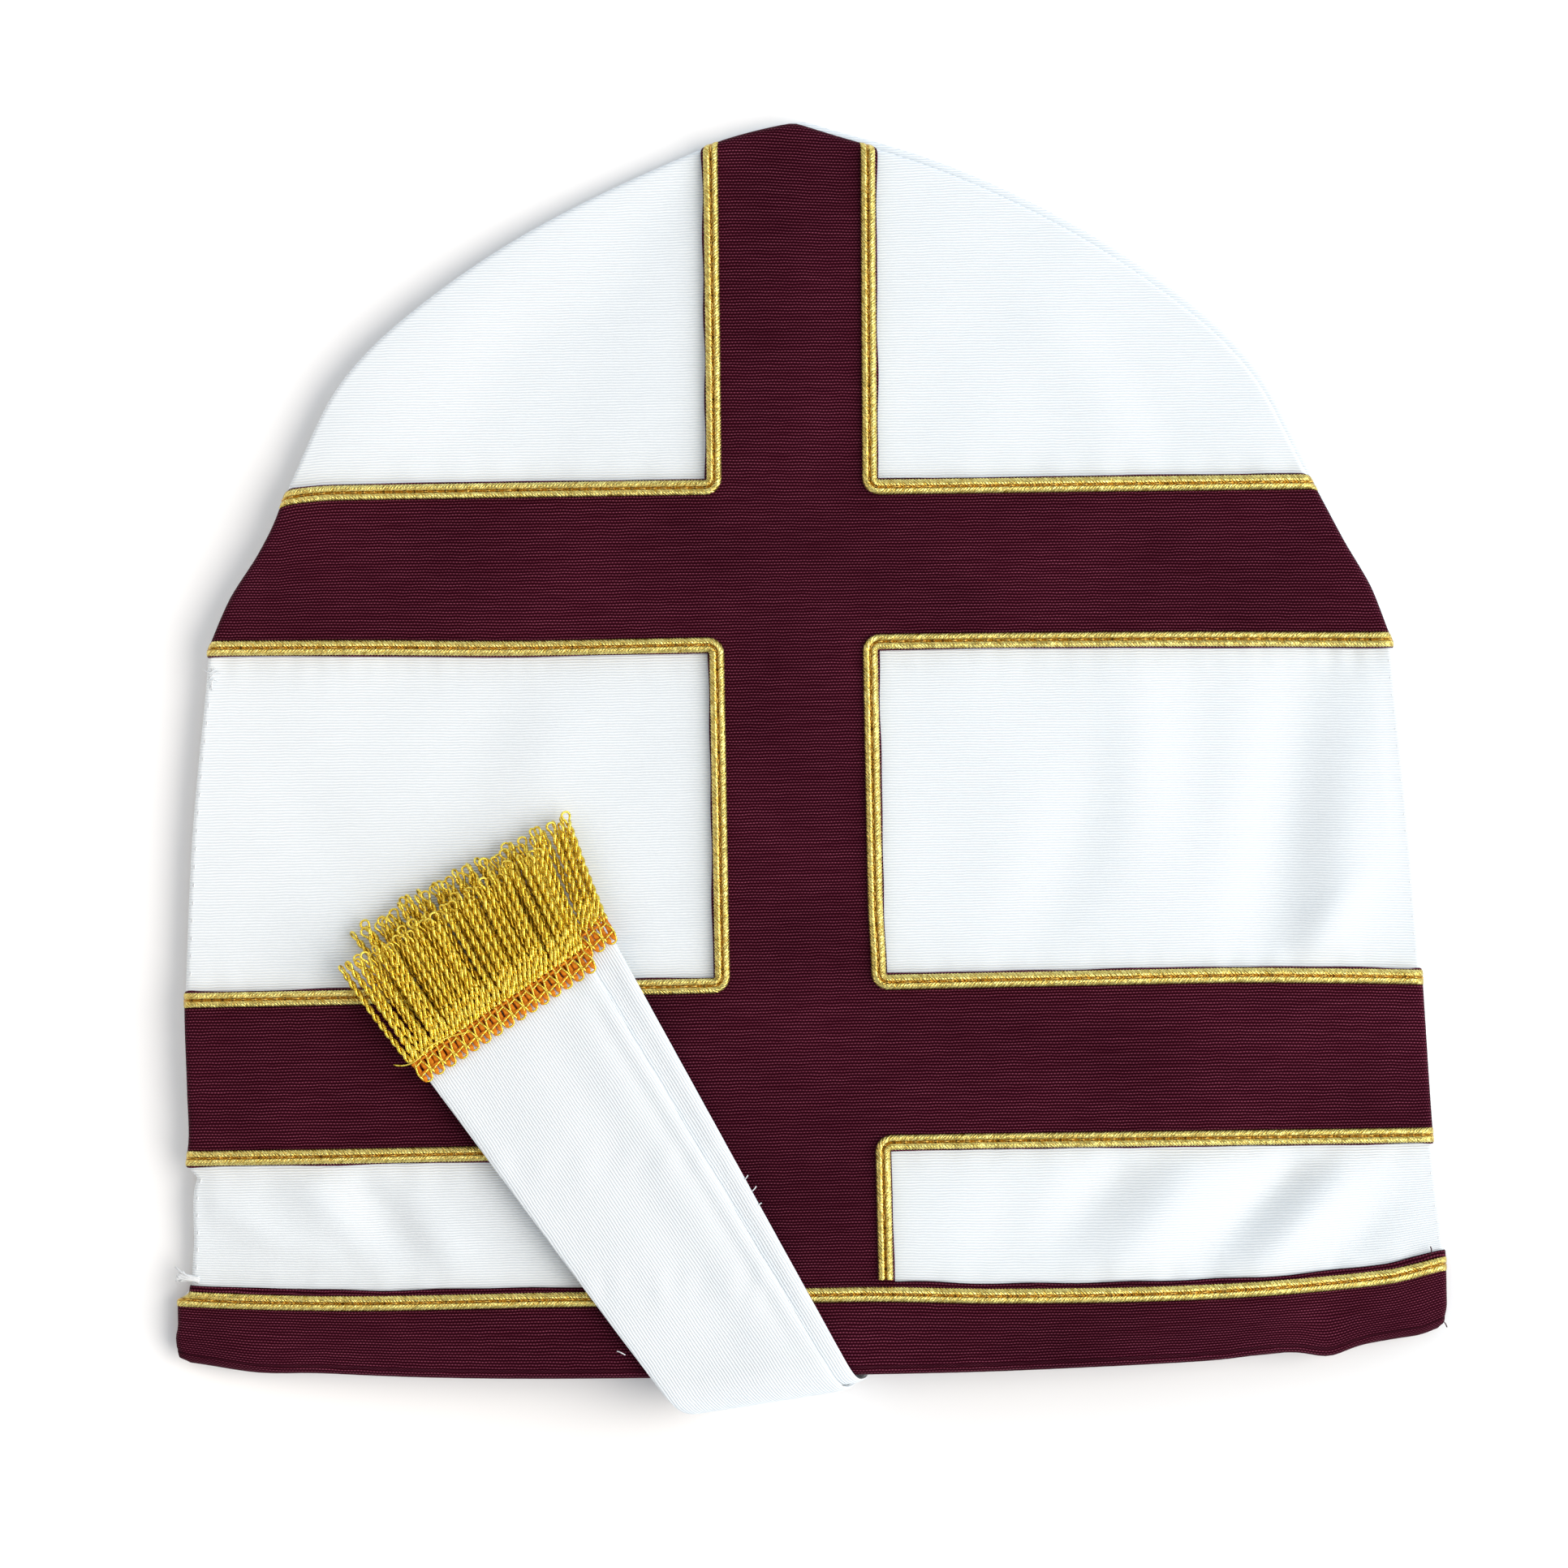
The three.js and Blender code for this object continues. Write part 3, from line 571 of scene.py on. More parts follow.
whiteLook = {
    "rib": 0.645, "knot": 0.33, "knotDepth": 0.12, "depth": 0.11,
    # the groove colour is painted shade in the grooves between the ribs
    "ribColor": (0.852, 0.887, 0.908, 1), "grooveColor": (0.64, 0.695, 0.735, 1),
    "groovePower": 0.55,  # less than 1 makes the grooves narrower than the ribs
    "slub": 0.25, "roughness": 0.7, "sheen": 0.05, "shine": 0.2,
}


def whiteCloth():
    # from the painted shade of the grooves to the rib's colour by a power of the weave's height, varied a
    # little by the slub
    material, tree, shader, cloth = startMaterial("white_ottoman")
    look = whiteLook
    woven = ribbed(tree, cloth, look)
    shown = calc(tree, "POWER", woven["Height"], look["groovePower"])
    slub = calc(tree, "SUBTRACT", woven["Slub"], 0.5)
    shown = clamped(tree, calc(tree, "MULTIPLY_ADD", slub, look["slub"], shown))
    feed(tree, shader, {
        "Base Color": blendColors(tree, shown, look["grooveColor"], look["ribColor"]),
        "Roughness": look["roughness"], "Sheen Weight": look["sheen"], "Specular IOR Level": look["shine"]})
    addBump(tree, shader, woven["Height"], look["depth"])
    return material


burgundyLook = {
    "rib": 0.7, "knot": 0.76, "knotDepth": 0.52, "depth": 0.2,
    # the groove colour is painted shade in the grooves between the ribs
    "ribColor": (0.067, 0.0063, 0.0175, 1), "grooveColor": (0.0145, 0.001, 0.0032, 1),
    # painted highlight on the tops of its knots, stronger where the yarn is thick
    "knotHighlightColor": (0.33, 0.084, 0.14, 1), "knotPower": 3.5, "knotSlub": (1.6, -0.25),
    "roughness": 0.5, "shine": 0.02, "shineColor": (1.0, 0.25, 0.5, 1),
    # the patches are painted sheen and shade, as on gentle waves of the cloth
    "sheenPatchScale": 2.2, "sheenPatchShare": (0.9, 0.56),  # lighter and darker patches about 45 mm across
}


def burgundyCloth():
    # from the painted shade of the grooves to the rib's colour by the weave's height, then to a painted
    # highlight on the knots by a power of it, and lighter or darker by painted patches of sheen and shade
    material, tree, shader, cloth = startMaterial("burgundy_ottoman")
    look = burgundyLook
    woven = ribbed(tree, cloth, look)
    color = blendColors(tree, woven["Height"], look["grooveColor"], look["ribColor"])
    thick = calc(tree, "MULTIPLY_ADD", woven["Slub"], *look["knotSlub"])
    # painted highlight on the knots' tops
    bright = calc(tree, "MULTIPLY", calc(tree, "POWER", woven["Height"], look["knotPower"]), thick)
    color = blendColors(tree, clamped(tree, bright), color, look["knotHighlightColor"])
    # painted patches of sheen and shade, lighter and darker by a soft noise
    sheenPatch = noise(tree, cloth, look["sheenPatchScale"], detail=2.0)
    sheenPatch = calc(tree, "MULTIPLY_ADD", sheenPatch, *look["sheenPatchShare"])
    color = addNode(tree, "ShaderNodeVectorMath", {0: color, "Scale": sheenPatch}, operation="SCALE").outputs[0]
    feed(tree, shader, {
        "Base Color": color, "Roughness": look["roughness"],
        "Specular IOR Level": look["shine"], "Specular Tint": look["shineColor"]})
    addBump(tree, shader, woven["Height"], look["depth"])
    return material


braidLook = {
    "pitch": 0.72, "slant": 0.9, "depth": 0.1, "bump": 0.8, "swell": 0.12,
    # bright and dark are painted glint and shade colours for the turns and strokes
    "bright": (1.0, 0.86, 0.29, 1), "dark": (0.46, 0.29, 0.033, 1), "turnShare": 0.3,
    # painted shade in the groove between the ribs
    "groove": (0.5, 0.28, 0.03, 1), "grooveFade": (0.15, 0.55),
    # painted shade in a hole at each stitch
    "holeShade": (0.14, 0.06, 0.005, 1), "holePower": 6.0, "stitch": 2.45,
    "roughness": 0.26, "metallic": 0.84,
    # width and length of strokes of painted glints and shade on the thread
    "stroke": (0.45, 1.1), "strokeRange": (0.34, 0.62), "strokeShare": 0.7, "strokeDepth": 0.16,
}


def goldBraid():
    # slanting turns that meet in the groove, strokes of painted glints and shade on them, painted shade in
    # the groove, and painted shade in a hole at each stitch
    material, tree, shader, cloth = startMaterial("gold_braid_thread")
    look = braidLook
    right, along = clothParts(tree, cloth)
    across = calc(tree, "ABSOLUTE", right)
    turns = wound(tree, calc(tree, "MULTIPLY", across, look["slant"] / look["pitch"]), along, look)
    slanted = calc(tree, "MULTIPLY_ADD", across, look["slant"], along)
    strokeWidth, strokeLength = look["stroke"]
    place = addNode(tree, "ShaderNodeCombineXYZ", {
        0: calc(tree, "DIVIDE", slanted, strokeWidth), 1: calc(tree, "DIVIDE", right, strokeLength)})
    stroke = noise(tree, place.outputs[0], scale=1.0, detail=1.5)
    stroke = ranged(tree, stroke, *look["strokeRange"])
    shade = calc(tree, "MULTIPLY", stroke, look["strokeShare"])
    shade = calc(tree, "MULTIPLY_ADD", turns["Shade"], look["turnShare"], shade)
    # painted glints and shade by strokes and turns
    color = blendColors(tree, shade, look["dark"], look["bright"])
    # painted shade in the groove between the ribs
    low = ranged(tree, across, *look["grooveFade"], 1.0, 0.0, interpolation_type="SMOOTHSTEP")
    color = blendColors(tree, low, color, look["groove"])
    # painted shade in a hole at each stitch, in the groove
    beat = cosineWave(tree, calc(tree, "DIVIDE", along, look["stitch"]), 0.5)
    holeShadeMask = calc(tree, "MULTIPLY", calc(tree, "POWER", beat, look["holePower"]), low)
    feed(tree, shader, {
        "Base Color": blendColors(tree, holeShadeMask, color, look["holeShade"]),
        "Roughness": look["roughness"], "Metallic": look["metallic"]})
    height = calc(tree, "MULTIPLY_ADD", stroke, look["strokeDepth"] / look["depth"], turns["Height"])
    addBump(tree, shader, height, look["depth"], look["bump"])
    return material


fringeLook = {
    "pitch": 0.42, "depth": 0.05, "bump": 0.7,
    "bright": (1.0, 0.82, 0.15, 1), "dark": (0.68, 0.43, 0.025, 1),
    "roughness": 0.15, "metallic": 0.97,
}


def goldThread():
    # each turn of the winding in a shade of its own, with a bump from the turns
    material, tree, shader, cloth = startMaterial("gold_fringe_thread")
    look = fringeLook
    around, along = addNode(tree, "ShaderNodeSeparateXYZ", {0: cloth}).outputs[:2]
    turns = wound(tree, around, calc(tree, "MULTIPLY", along, uvUnit), look)
    feed(tree, shader, {
        "Base Color": blendColors(tree, turns["Shade"], look["dark"], look["bright"]),
        "Roughness": look["roughness"], "Metallic": look["metallic"]})
    addBump(tree, shader, turns["Height"], look["depth"], look["bump"])
    return material


yarnLook = {"fibreScale": (6.0, 90.0, 1.0), "fibreRange": (0.3, 0.7), "shine": 0.1}


def plainThread(name, dark, bright, roughness, metallic=0.0, depth=0.15):
    # spun yarn: two shades and a bump from one noise, drawn out along the thread
    material, tree, shader, cloth = startMaterial(name)
    fibre = noise(tree, stretched(tree, cloth, yarnLook["fibreScale"]), scale=1.0, detail=4.0)
    share = ranged(tree, fibre, *yarnLook["fibreRange"])
    feed(tree, shader, {
        "Base Color": blendColors(tree, share, (*dark, 1), (*bright, 1)),
        "Roughness": roughness, "Metallic": metallic, "Specular IOR Level": yarnLook["shine"]})
    addBump(tree, shader, fibre, depth)
    return material


white = whiteCloth()
burgundy = burgundyCloth()
braidGold = goldBraid()
fringeGold = goldThread()
stitchThread = plainThread("gold_stitch_thread", (0.55, 0.32, 0.04), (0.98, 0.68, 0.18), 0.4, metallic=0.6)
orangeYarn = plainThread("orange_yarn", (0.46, 0.11, 0.005), (0.8, 0.28, 0.018), 0.8, depth=0.3)
whiteThread = plainThread("white_thread", (0.66, 0.68, 0.7), (0.82, 0.84, 0.85), 0.7)
darkThread = plainThread("dark_thread", (0.03, 0.01, 0.014), (0.09, 0.04, 0.05), 0.8)
print("materials made")


# Front and back panels

panels = {
    "columns": 200, "hornRows": 62, "bodyStep": 2.6, "hornEnd": 150,
    # how far from the rim the even rows stop, and the distances from it of the rows after them
    "rimGap": 2, "rimRows": (1.4, 0.9, 0.5, 0.2, 0.06, 0),
    "backRight": 2.2, "backUp": 1, "backUntil": 180,  # how far the back shows past the front's peak
}


def panelPlan():
    # columns close up towards the sides. Rows leave the horn's edge for a level line, then go down level to
    # the rim. The thickness goes to nothing in a quarter circle at the edges
    column = np.sin(np.pi / 2 * np.linspace(-1, 1, panels["columns"] + 1))[None, :]
    share = (1 - np.cos(np.pi / 2 * np.linspace(0, 1, panels["hornRows"] + 1)))[:, None]
    hornEnd, step = panels["hornEnd"], panels["bodyStep"]
    hornDrop = mix(hornEdge(column * mitre["shoulderHalf"]), hornEnd, share)
    down = np.arange(hornEnd + step, panelRim - panels["rimGap"], step)
    level = np.concatenate([down, panelRim - np.array(panels["rimRows"])])[:, None]
    bodyDrop = browLevel(level, column * baseHalf)
    drop = np.concatenate([hornDrop, bodyDrop])
    level = np.concatenate([hornDrop, np.broadcast_to(level, bodyDrop.shape)])
    x = column * sideHalf(drop)
    thick = roundEdge(np.minimum(np.maximum(0, outlineAt(x, drop)[0]), panelRim - level), halfWall)
    thick[0] = thick[-1] = 0
    thick[:, [0, -1]] = 0
    return x, drop, np.stack([x, level], -1), halfWall * thick


def backCloth():
    # the plan at the height of the back's middle, slipped to the right and up near the peak
    x, drop, cloth, half = panelPlan()
    slip = 1 - smoothStep(drop, 0, panels["backUntil"])
    middle = backMiddle(x, drop)
    x, drop = x + panels["backRight"] * slip, drop - panels["backUp"] * slip
    shape = clothShell(sewnPoint(x, drop, middle + half), sewnPoint(x, drop, middle - half), cloth)
    piece = makePiece("back_cloth", shape, white, ["back_panel"])


def frontCloth():
    # the plan at the height of the front's middle, half its thickness up and down
    x, drop, cloth, half = panelPlan()
    middle = frontMiddle(x, drop)
    shape = clothShell(sewnPoint(x, drop, middle + half), sewnPoint(x, drop, middle - half), cloth)
    piece = makePiece("front_cloth", shape, white, ["front_panel"])


backCloth()
frontCloth()


# The applied cross

trim = {
    "shift": -1.2,  # its middle, a little left of the panel's
    "pitch": 37.2,  # braid to braid across the band and the bars
    "upperBar": 104.8, "lowerBar": 223,
    "edge": 2.1,  # from a braid's middle to the raw edge of the cloth
    "edgeRound": 0.5,
    "ragged": 0.2, "raggedLength": 19,
    "raggedSeeds": {"bars": (11, 17), "left": 23, "right": 29},
    "low": 0.06, "high": 1.1,  # above the front
    "over": 1.9,  # carried on round the panel's edges
    "browBraid": 277.8, "browEdge": 3.05,
}
crossGrid = {
    # shares of a band's width, close together at the raw edges, and of an arm's length, close at the seam
    "edgeShares": (0, 0.012, 0.035, 0.08), "middleShares": (0.14, 0.86, 17),
    "armShares": (0, 0.96, 56), "seamShares": (0.967, 1, 9),
    "peakRows": (-1.9, -1.5, -1.1, -0.7, -0.3, 0.1, 0.5, 1, 2, 4),  # over the peak's edge and down from it
    "firstRow": 14, "fieldRows": (38, 42, 16), "endRows": (-0.9, -0.3, 0.2),
    "armEnd": 140, "abovePeak": -9,
    "raggedReach": 0.25,  # share of a bar's half width over which the wavering of its edge dies out
}
browTop = trim["browBraid"] - trim["browEdge"]
crossHalf = trim["pitch"] / 2 + trim["edge"]
trimMiddle = (trim["high"] + trim["low"]) / 2
trimHalf = (trim["high"] - trim["low"]) / 2


def ragged(at, seed):  # how far a raw edge wavers along its length
    return trim["ragged"] * softWaves(at, 0 * at + seed, trim["raggedLength"], seed)


def rowsBetween(top, bottom, count):  # even rows, without the first and the last
    return np.linspace(top, bottom, count)[1:-1]


def frontCross():
    # columns: left arm, band, right arm. Rows: peak, upper bar, between, lower bar, end. Cells outside both
    # the band and the bars are left out
    grid = crossGrid
    edgeShares = np.array(grid["edgeShares"])
    across = np.concatenate([edgeShares, np.linspace(*grid["middleShares"]), 1 - edgeShares[::-1]])
    arm = np.concatenate([np.linspace(*grid["armShares"]), np.linspace(*grid["seamShares"])])
    bars = [trim["upperBar"], trim["lowerBar"]]
    upper, lower = [bar + crossHalf * (2 * across - 1) for bar in bars]
    above, between, below = grid["fieldRows"]
    rows = np.concatenate([
        rowsBetween(grid["firstRow"], upper[0], above), upper,
        rowsBetween(upper[-1], lower[0], between), lower,
        rowsBetween(lower[-1], browTop, below), browTop + np.array(grid["endRows"])])
    peakRows = np.array(grid["peakRows"])[:, None]
    armCount, bandCount = len(arm) - 1, len(across) - 1
    # drops: the bars' raw edges waver with x, so their rows do
    bandX = trim["shift"] + crossHalf * (2 * across - 1)
    guideX = np.concatenate([np.linspace(-grid["armEnd"], bandX[0], armCount + 1)[:-1], bandX,
                             np.linspace(bandX[-1], grid["armEnd"], armCount + 1)[1:]])[None, :]
    drop = np.repeat(rows[:, None], guideX.shape[1], 1)
    for bar, seed in zip(bars, trim["raggedSeeds"]["bars"]):
        share = (rows[:, None] - bar) / crossHalf
        near = np.maximum(0, 1 - np.abs(np.abs(share) - 1) / grid["raggedReach"])
        drop += near * np.sign(share) * ragged(guideX, seed)
    top = hornEdge(np.clip(guideX, bandX[0], bandX[-1])) + peakRows
    drop = np.concatenate([top, browLevel(drop, guideX)])
    # x: the band's raw edges waver with the drop, and the arms run from there over the side seams
    left = (trim["shift"] - crossHalf - ragged(drop[:, 0], trim["raggedSeeds"]["left"]))[:, None]
    right = (trim["shift"] + crossHalf + ragged(drop[:, 0], trim["raggedSeeds"]["right"]))[:, None]
    armEnd = halfWidth(drop) + trim["over"]
    x = np.concatenate([
        mix(-armEnd[:, :armCount], left, 1 - arm[:0:-1]),
        mix(left, right, across),
        mix(right, armEnd[:, -armCount:], arm[1:])], 1)
    level = np.concatenate([np.full(len(peakRows), grid["abovePeak"]), rows])
    middle = (level[:-1] + level[1:]) / 2
    inBar = np.any([(middle > bar[0]) & (middle < bar[-1]) for bar in (upper, lower)], 0)
    inBand = np.zeros(x.shape[1] - 1, bool)
    inBand[armCount:armCount + bandCount] = True
    # distance in from the raw edges of band and bars together
    inner = np.minimum(x - left, right - x)
    for bar in bars:
        inner = np.maximum(inner, crossHalf - np.abs(level[:, None] - bar))
    half = trimHalf * roundEdge(np.maximum(0, inner), trim["edgeRound"])
    shape = clothShell(onFront(x, drop, trimMiddle + half), onFront(x, drop, trimMiddle - half),
                       np.stack([x, drop], -1), inBar[:, None] | inBand[None, :])
    piece = makePiece("cross_cloth", shape, burgundy, ["front_cross"])


frontCross()


# Brow bands

brow = {
    "columns": 161, "over": (0.5, 1.0, 1.5, 2.0),  # past the side seams
    # rows down from the raw edge, round the rim, and in again
    "rows": (0, 0.08, 0.22, 0.45, 0.8, 1.3, 2, 3, 4.5, 6, 7.5, 9, 10.5, 12, 13.5, 15, 16.5, 17.8),
    "rimRows": 14, "rimLength": 6, "inRows": 7, "inLength": 8,
    # shares of the half width over which the rim opens out at the seams and the turn-in narrows to nothing
    "rimOpens": (0.8, 0.97), "inNarrows": (0.72, 0.95),
    # the raw edge wavers, but is straight along the cross's end, and lies lower by so much at x. Both die
    # out between these depths below it
    "waver": 0.3, "waverLength": 26, "waverSeed": 5, "waverFrom": 6, "rawDepths": (0.4, 2.4),
    "rawEdge": [(-148, -0.9), (-120, -0.4), (-100, 0), (100, 0), (130, -0.5), (148, -1.1)],
    # the front band's rim sinks below the panel's: x, half width and depth, from this far below the raw edge
    "rimWaves": [(122, 5.5, 1.75), (108, 9, -0.55), (144, 4, 0.5), (75, 30, -0.45), (-131, 10, 1.1)],
    "rimWavesFrom": 8,
    # its left corner is fuller: drop and how far, which sets in between these distances to the left
    "corner": [(286, 0), (290, 0.8), (294, 1.4)], "cornerFrom": (125, 146),
}


def browBand(name, node, middle, outward):
    # from the raw edge down to the rim, half round it and in again. The turn-in narrows to nothing at the
    # seams
    inner = np.sin(np.pi / 2 * np.linspace(-1, 1, brow["columns"]))
    over = np.array(brow["over"])
    column = np.concatenate([np.full(len(over), -1), inner, np.full(len(over), 1)])[None, :]
    extra = np.concatenate([-over[::-1], 0 * inner, over])[None, :]
    across = column * baseHalf
    down = np.array(brow["rows"])
    rim = np.linspace(0, 1, brow["rimRows"])
    inward = np.linspace(0, 1, brow["inRows"] + 1)[1:]
    rimTop = panelRim - browTop
    level = np.concatenate([browTop + down, np.full(len(rim) + len(inward), panelRim)])[:, None]
    rimShare = np.concatenate([0 * down, rim, np.ones(len(inward))])[:, None]
    inShare = np.concatenate([0 * down, 0 * rim, inward])[:, None]
    rowLength = np.concatenate([down, rimTop + brow["rimLength"] * rim,
                                rimTop + brow["rimLength"] + brow["inLength"] * inward])[:, None]
    clear = smoothStep(np.abs(across - trim["shift"]), crossHalf, crossHalf + brow["waverFrom"])
    raw = brow["waver"] * clear * softWaves(across, 0 * across, brow["waverLength"], brow["waverSeed"])
    raw = raw + tableCurve(brow["rawEdge"], across)
    raw = raw * (1 - smoothStep(level - browTop, *brow["rawDepths"]))
    turn = rimShare * mix(np.pi, np.pi / 2, smoothStep(np.abs(column), *brow["rimOpens"]))
    turnIn = inShare * brow["inLength"] * (1 - smoothStep(np.abs(column), *brow["inNarrows"]))
    drop = browLevel(level + raw, across)
    x = column * sideHalf(drop) + extra
    sink = sum(high * np.exp(-(((x - at) / wide) ** 2)) for at, wide, high in brow["rimWaves"])
    sink = sink * smoothStep(level, browTop + brow["rimWavesFrom"], panelRim) * (outward > 0)
    fuller = tableCurve(brow["corner"], level) * smoothStep(-x, *brow["cornerFrom"]) * (outward > 0)
    fromEdge = np.minimum(rowLength, rowLength[-1] - rowLength)
    half = trimHalf * roundEdge(fromEdge, trim["edgeRound"]) * np.ones_like(x)
    half[:, [0, -1]] = 0

    def face(offset):
        radius = halfWall + trimMiddle + offset
        below = radius * np.sin(turn) - turnIn + sink
        points = aroundPanel(middle, x, drop, outward * radius * np.cos(turn), below)
        return points - np.stack([fuller, 0 * fuller, 0 * fuller], -1)

    upper, lower = face(outward * half), face(-outward * half)
    pastRim = (rowLength - rowLength[len(down) - 1]) * (rimShare > 0)
    cloth = np.stack([x, level + pastRim + 0 * x], -1)
    piece = makePiece(name, clothShell(upper, lower, cloth), burgundy, [node])


browBand("brow_cloth_front", "brow_band_front", frontMiddle, 1)
browBand("brow_cloth_back", "brow_band_back", backMiddle, -1)


# Braids

braid = {
    "half": 1.75, "rib": 0.86, "ribRadius": 0.9, "side": 0.35, "height": 1.05,
    "ribAngles": (-18, 10, 38, 66, 94, 122, 150), "foot": 0.9, "grooveHeight": 0.3,
    "lift": 1.12, "corner": 2.2, "hiddenCorner": 6, "cornerSteps": 13, "step": 0.18, "swellAside": 0.4,
    # how far it runs past the seams and past the peak's edge, and stops short of the brow band
    "over": 2.4, "overPeak": 1.6, "browGap": 0.35,
    "flatten": 0.62, "flattenLength": (1, 5),  # its open ends are pressed flat
    "browSteps": 400,
}


def evenSteps(points, step):  # points at even lengths along a path, and those lengths
    length = np.concatenate([[0], np.cumsum(np.linalg.norm(np.diff(points, axis=0), axis=1))])
    along = np.linspace(0, length[-1], int(length[-1] / step) + 1)
    return np.stack([np.interp(along, length, points[:, k]) for k in range(points.shape[1])], 1), along


def roundedPath(corners, radius, step):
    # straight runs joined by quarter circles, as points at even steps
    corners = np.array(corners, float)
    angle = np.linspace(0, np.pi / 2, braid["cornerSteps"])[:, None]
    points = [corners[:1]]
    for before, corner, after in zip(corners, corners[1:], corners[2:]):
        into, away = unit(corner - before), unit(after - corner)
        middle = corner + radius * (away - into)
        points.append(middle + radius * (into * np.sin(angle) - away * np.cos(angle)))
    return evenSteps(np.concatenate(points + [corners[-1:]]), step)


def pressedFlat(distance):  # the share of its height that a braid keeps at a distance from an open end
    return mix(braid["flatten"], 1, smoothStep(distance, *braid["flattenLength"]))


def braidProfile():
    # two ribs, each most of a circle, with a groove between them, from the right foot over to the left
    angle = np.radians(braid["ribAngles"])
    ribX = braid["rib"] + braid["ribRadius"] * np.cos(angle)
    ribUp = braid["side"] + braid["height"] * np.sin(angle)
    right = np.concatenate([[[braid["half"] * braid["foot"], 0]], np.stack([ribX, ribUp], 1)])
    groove = [[0, braid["side"] + braid["height"] * braid["grooveHeight"]]]
    return np.concatenate([right, groove, right[::-1] * (-1, 1)])


def braidAlong(name, at, along, ends):
    # the profile carried along the path, with slanting ridges of wound thread that meet in a herringbone
    profile = braidProfile()
    forward = unit(np.gradient(at, axis=0))
    side = np.stack([forward[:, 1], -forward[:, 0]], 1)
    flat = np.ones(len(along))
    for isOpen, distance in zip(ends, (along, along[-1] - along)):
        if isOpen:
            flat *= pressedFlat(distance)
    flat = flat[:, None]
    across = np.broadcast_to(profile[:, 0], (len(along), len(profile)))
    up = profile[:, 1] * flat
    ridge = np.cos(2 * np.pi * (along[:, None] + np.abs(across) * braidLook["slant"]) / braidLook["pitch"])
    onTop = (profile[:, 1] > 0) & (profile[:, 0] != 0)
    swell = braidLook["swell"] * ridge * onTop
    aside = across * (1 + braid["swellAside"] * swell)
    rings = onFront(at[:, :1] + side[:, :1] * aside, at[:, 1:] + side[:, 1:] * aside,
                    braid["lift"] * flat + up + swell * up)
    quads, triangles = tubeFaces(*rings.shape[:2])
    points = np.concatenate([rings.reshape(-1, 3), rings[[0, -1]].mean(1)])
    cloth = np.stack([across, np.broadcast_to(along[:, None], across.shape)], -1).reshape(-1, 2)
    cloth = np.concatenate([cloth, [[0, 0], [0, along[-1]]]]) / uvUnit
    uv = cloth[np.concatenate([quads.ravel(), triangles.ravel()])]
    shape = {"points": points, "quads": quads, "triangles": triangles, "uv": uv}
    makePiece(f"{name}_cord", shape, braidGold, [name])


def seamEnd(side, drop):  # where a braid ends that runs out over the side seam
    return side * (float(halfWidth(np.array(drop))) + braid["over"]), drop


def braidRoutes():
    # each braid's path in x and drop, its lengths along it, and which of its ends are open
    routes = {}
    rise = trim["pitch"] / 2
    upperTop, upperBottom = trim["upperBar"] - rise, trim["upperBar"] + rise
    lowerTop, lowerBottom = trim["lowerBar"] - rise, trim["lowerBar"] + rise
    for word, side in (("left", -1), ("right", 1)):
        x = trim["shift"] + side * rise
        peakEnd = float(hornEdge(np.array(x))) - braid["overPeak"]
        runs = {
            "upper": ([(x, peakEnd), (x, upperTop), seamEnd(side, upperTop)], (1, 1)),
            "middle": ([seamEnd(side, upperBottom), (x, upperBottom),
                        (x, lowerTop), seamEnd(side, lowerTop)], (1, 1)),
            "lower": ([seamEnd(side, lowerBottom), (x, lowerBottom),
                       (x, browTop - braid["browGap"])], (1, 0)),
        }
        for field, (corners, ends) in runs.items():
            hidden = field == "lower" and word == "left"  # its corner lies under the lappets
            corner = braid["hiddenCorner"] if hidden else braid["corner"]
            routes[f"braid_{field}_{word}"] = (*roundedPath(corners, corner, braid["step"]), ends)
    x = np.linspace(-baseHalf - braid["over"], baseHalf + braid["over"], braid["browSteps"])
    drop = browLevel(trim["browBraid"], np.clip(x, -baseHalf, baseHalf))
    routes["braid_brow"] = (*evenSteps(np.stack([x, drop], 1), braid["step"]), (1, 1))
    return routes


stitches = {
    "length": 1.9, "pitch": braidLook["stitch"], "radius": 0.25, "lift": 0.8, "seed": 61, "endGap": 1.2,
    "taper": (0.6, 1, 1, 1, 1, 0.6), "sides": 5, "dip": 0.3,
    # spread of their lengths, of their places across the groove, of how they slant and of their heights
    "lengthSpread": 0.3, "aside": 0.1, "slant": 0.13, "sunk": 0.12,
}


def grooveStitches(routes):
    # a running stitch along each groove: short tubes that dip at both ends, none quite like the next
    draw = np.random.default_rng(stitches["seed"])
    spread = np.linspace(-0.5, 0.5, len(stitches["taper"]))
    gap, pitch = stitches["endGap"], stitches["pitch"]
    paths = []
    for at, along, _ in routes.values():
        middles = np.arange(pitch / 2 + gap, along[-1] - gap, pitch)
        vary = draw.normal(0, 1, (4, len(middles), 1))
        where = middles[:, None] + (stitches["length"] + stitches["lengthSpread"] * vary[0]) * spread
        aside = stitches["aside"] * vary[1] + stitches["slant"] * vary[2] * 2 * spread
        forward = unit(np.gradient(at, axis=0))
        x = np.interp(where, along, at[:, 0]) + aside * np.interp(where, along, forward[:, 1])
        drop = np.interp(where, along, at[:, 1]) - aside * np.interp(where, along, forward[:, 0])
        flat = pressedFlat(np.minimum(where, along[-1] - where))
        dip = stitches["dip"] * (2 * np.abs(spread)) ** 3 + stitches["sunk"] * np.abs(vary[3])
        paths.append(onFront(x, drop, (braid["lift"] + stitches["lift"]) * flat - dip))
    shape = tubes(np.concatenate(paths), stitches["radius"] * np.array(stitches["taper"]), stitches["sides"])
    makePiece("braid_stitches", shape, stitchThread)


routes = braidRoutes()
for routeName, (at, along, ends) in routes.items():
    braidAlong(routeName, at, along, ends)
grooveStitches(routes)


# Side seams and loose threads

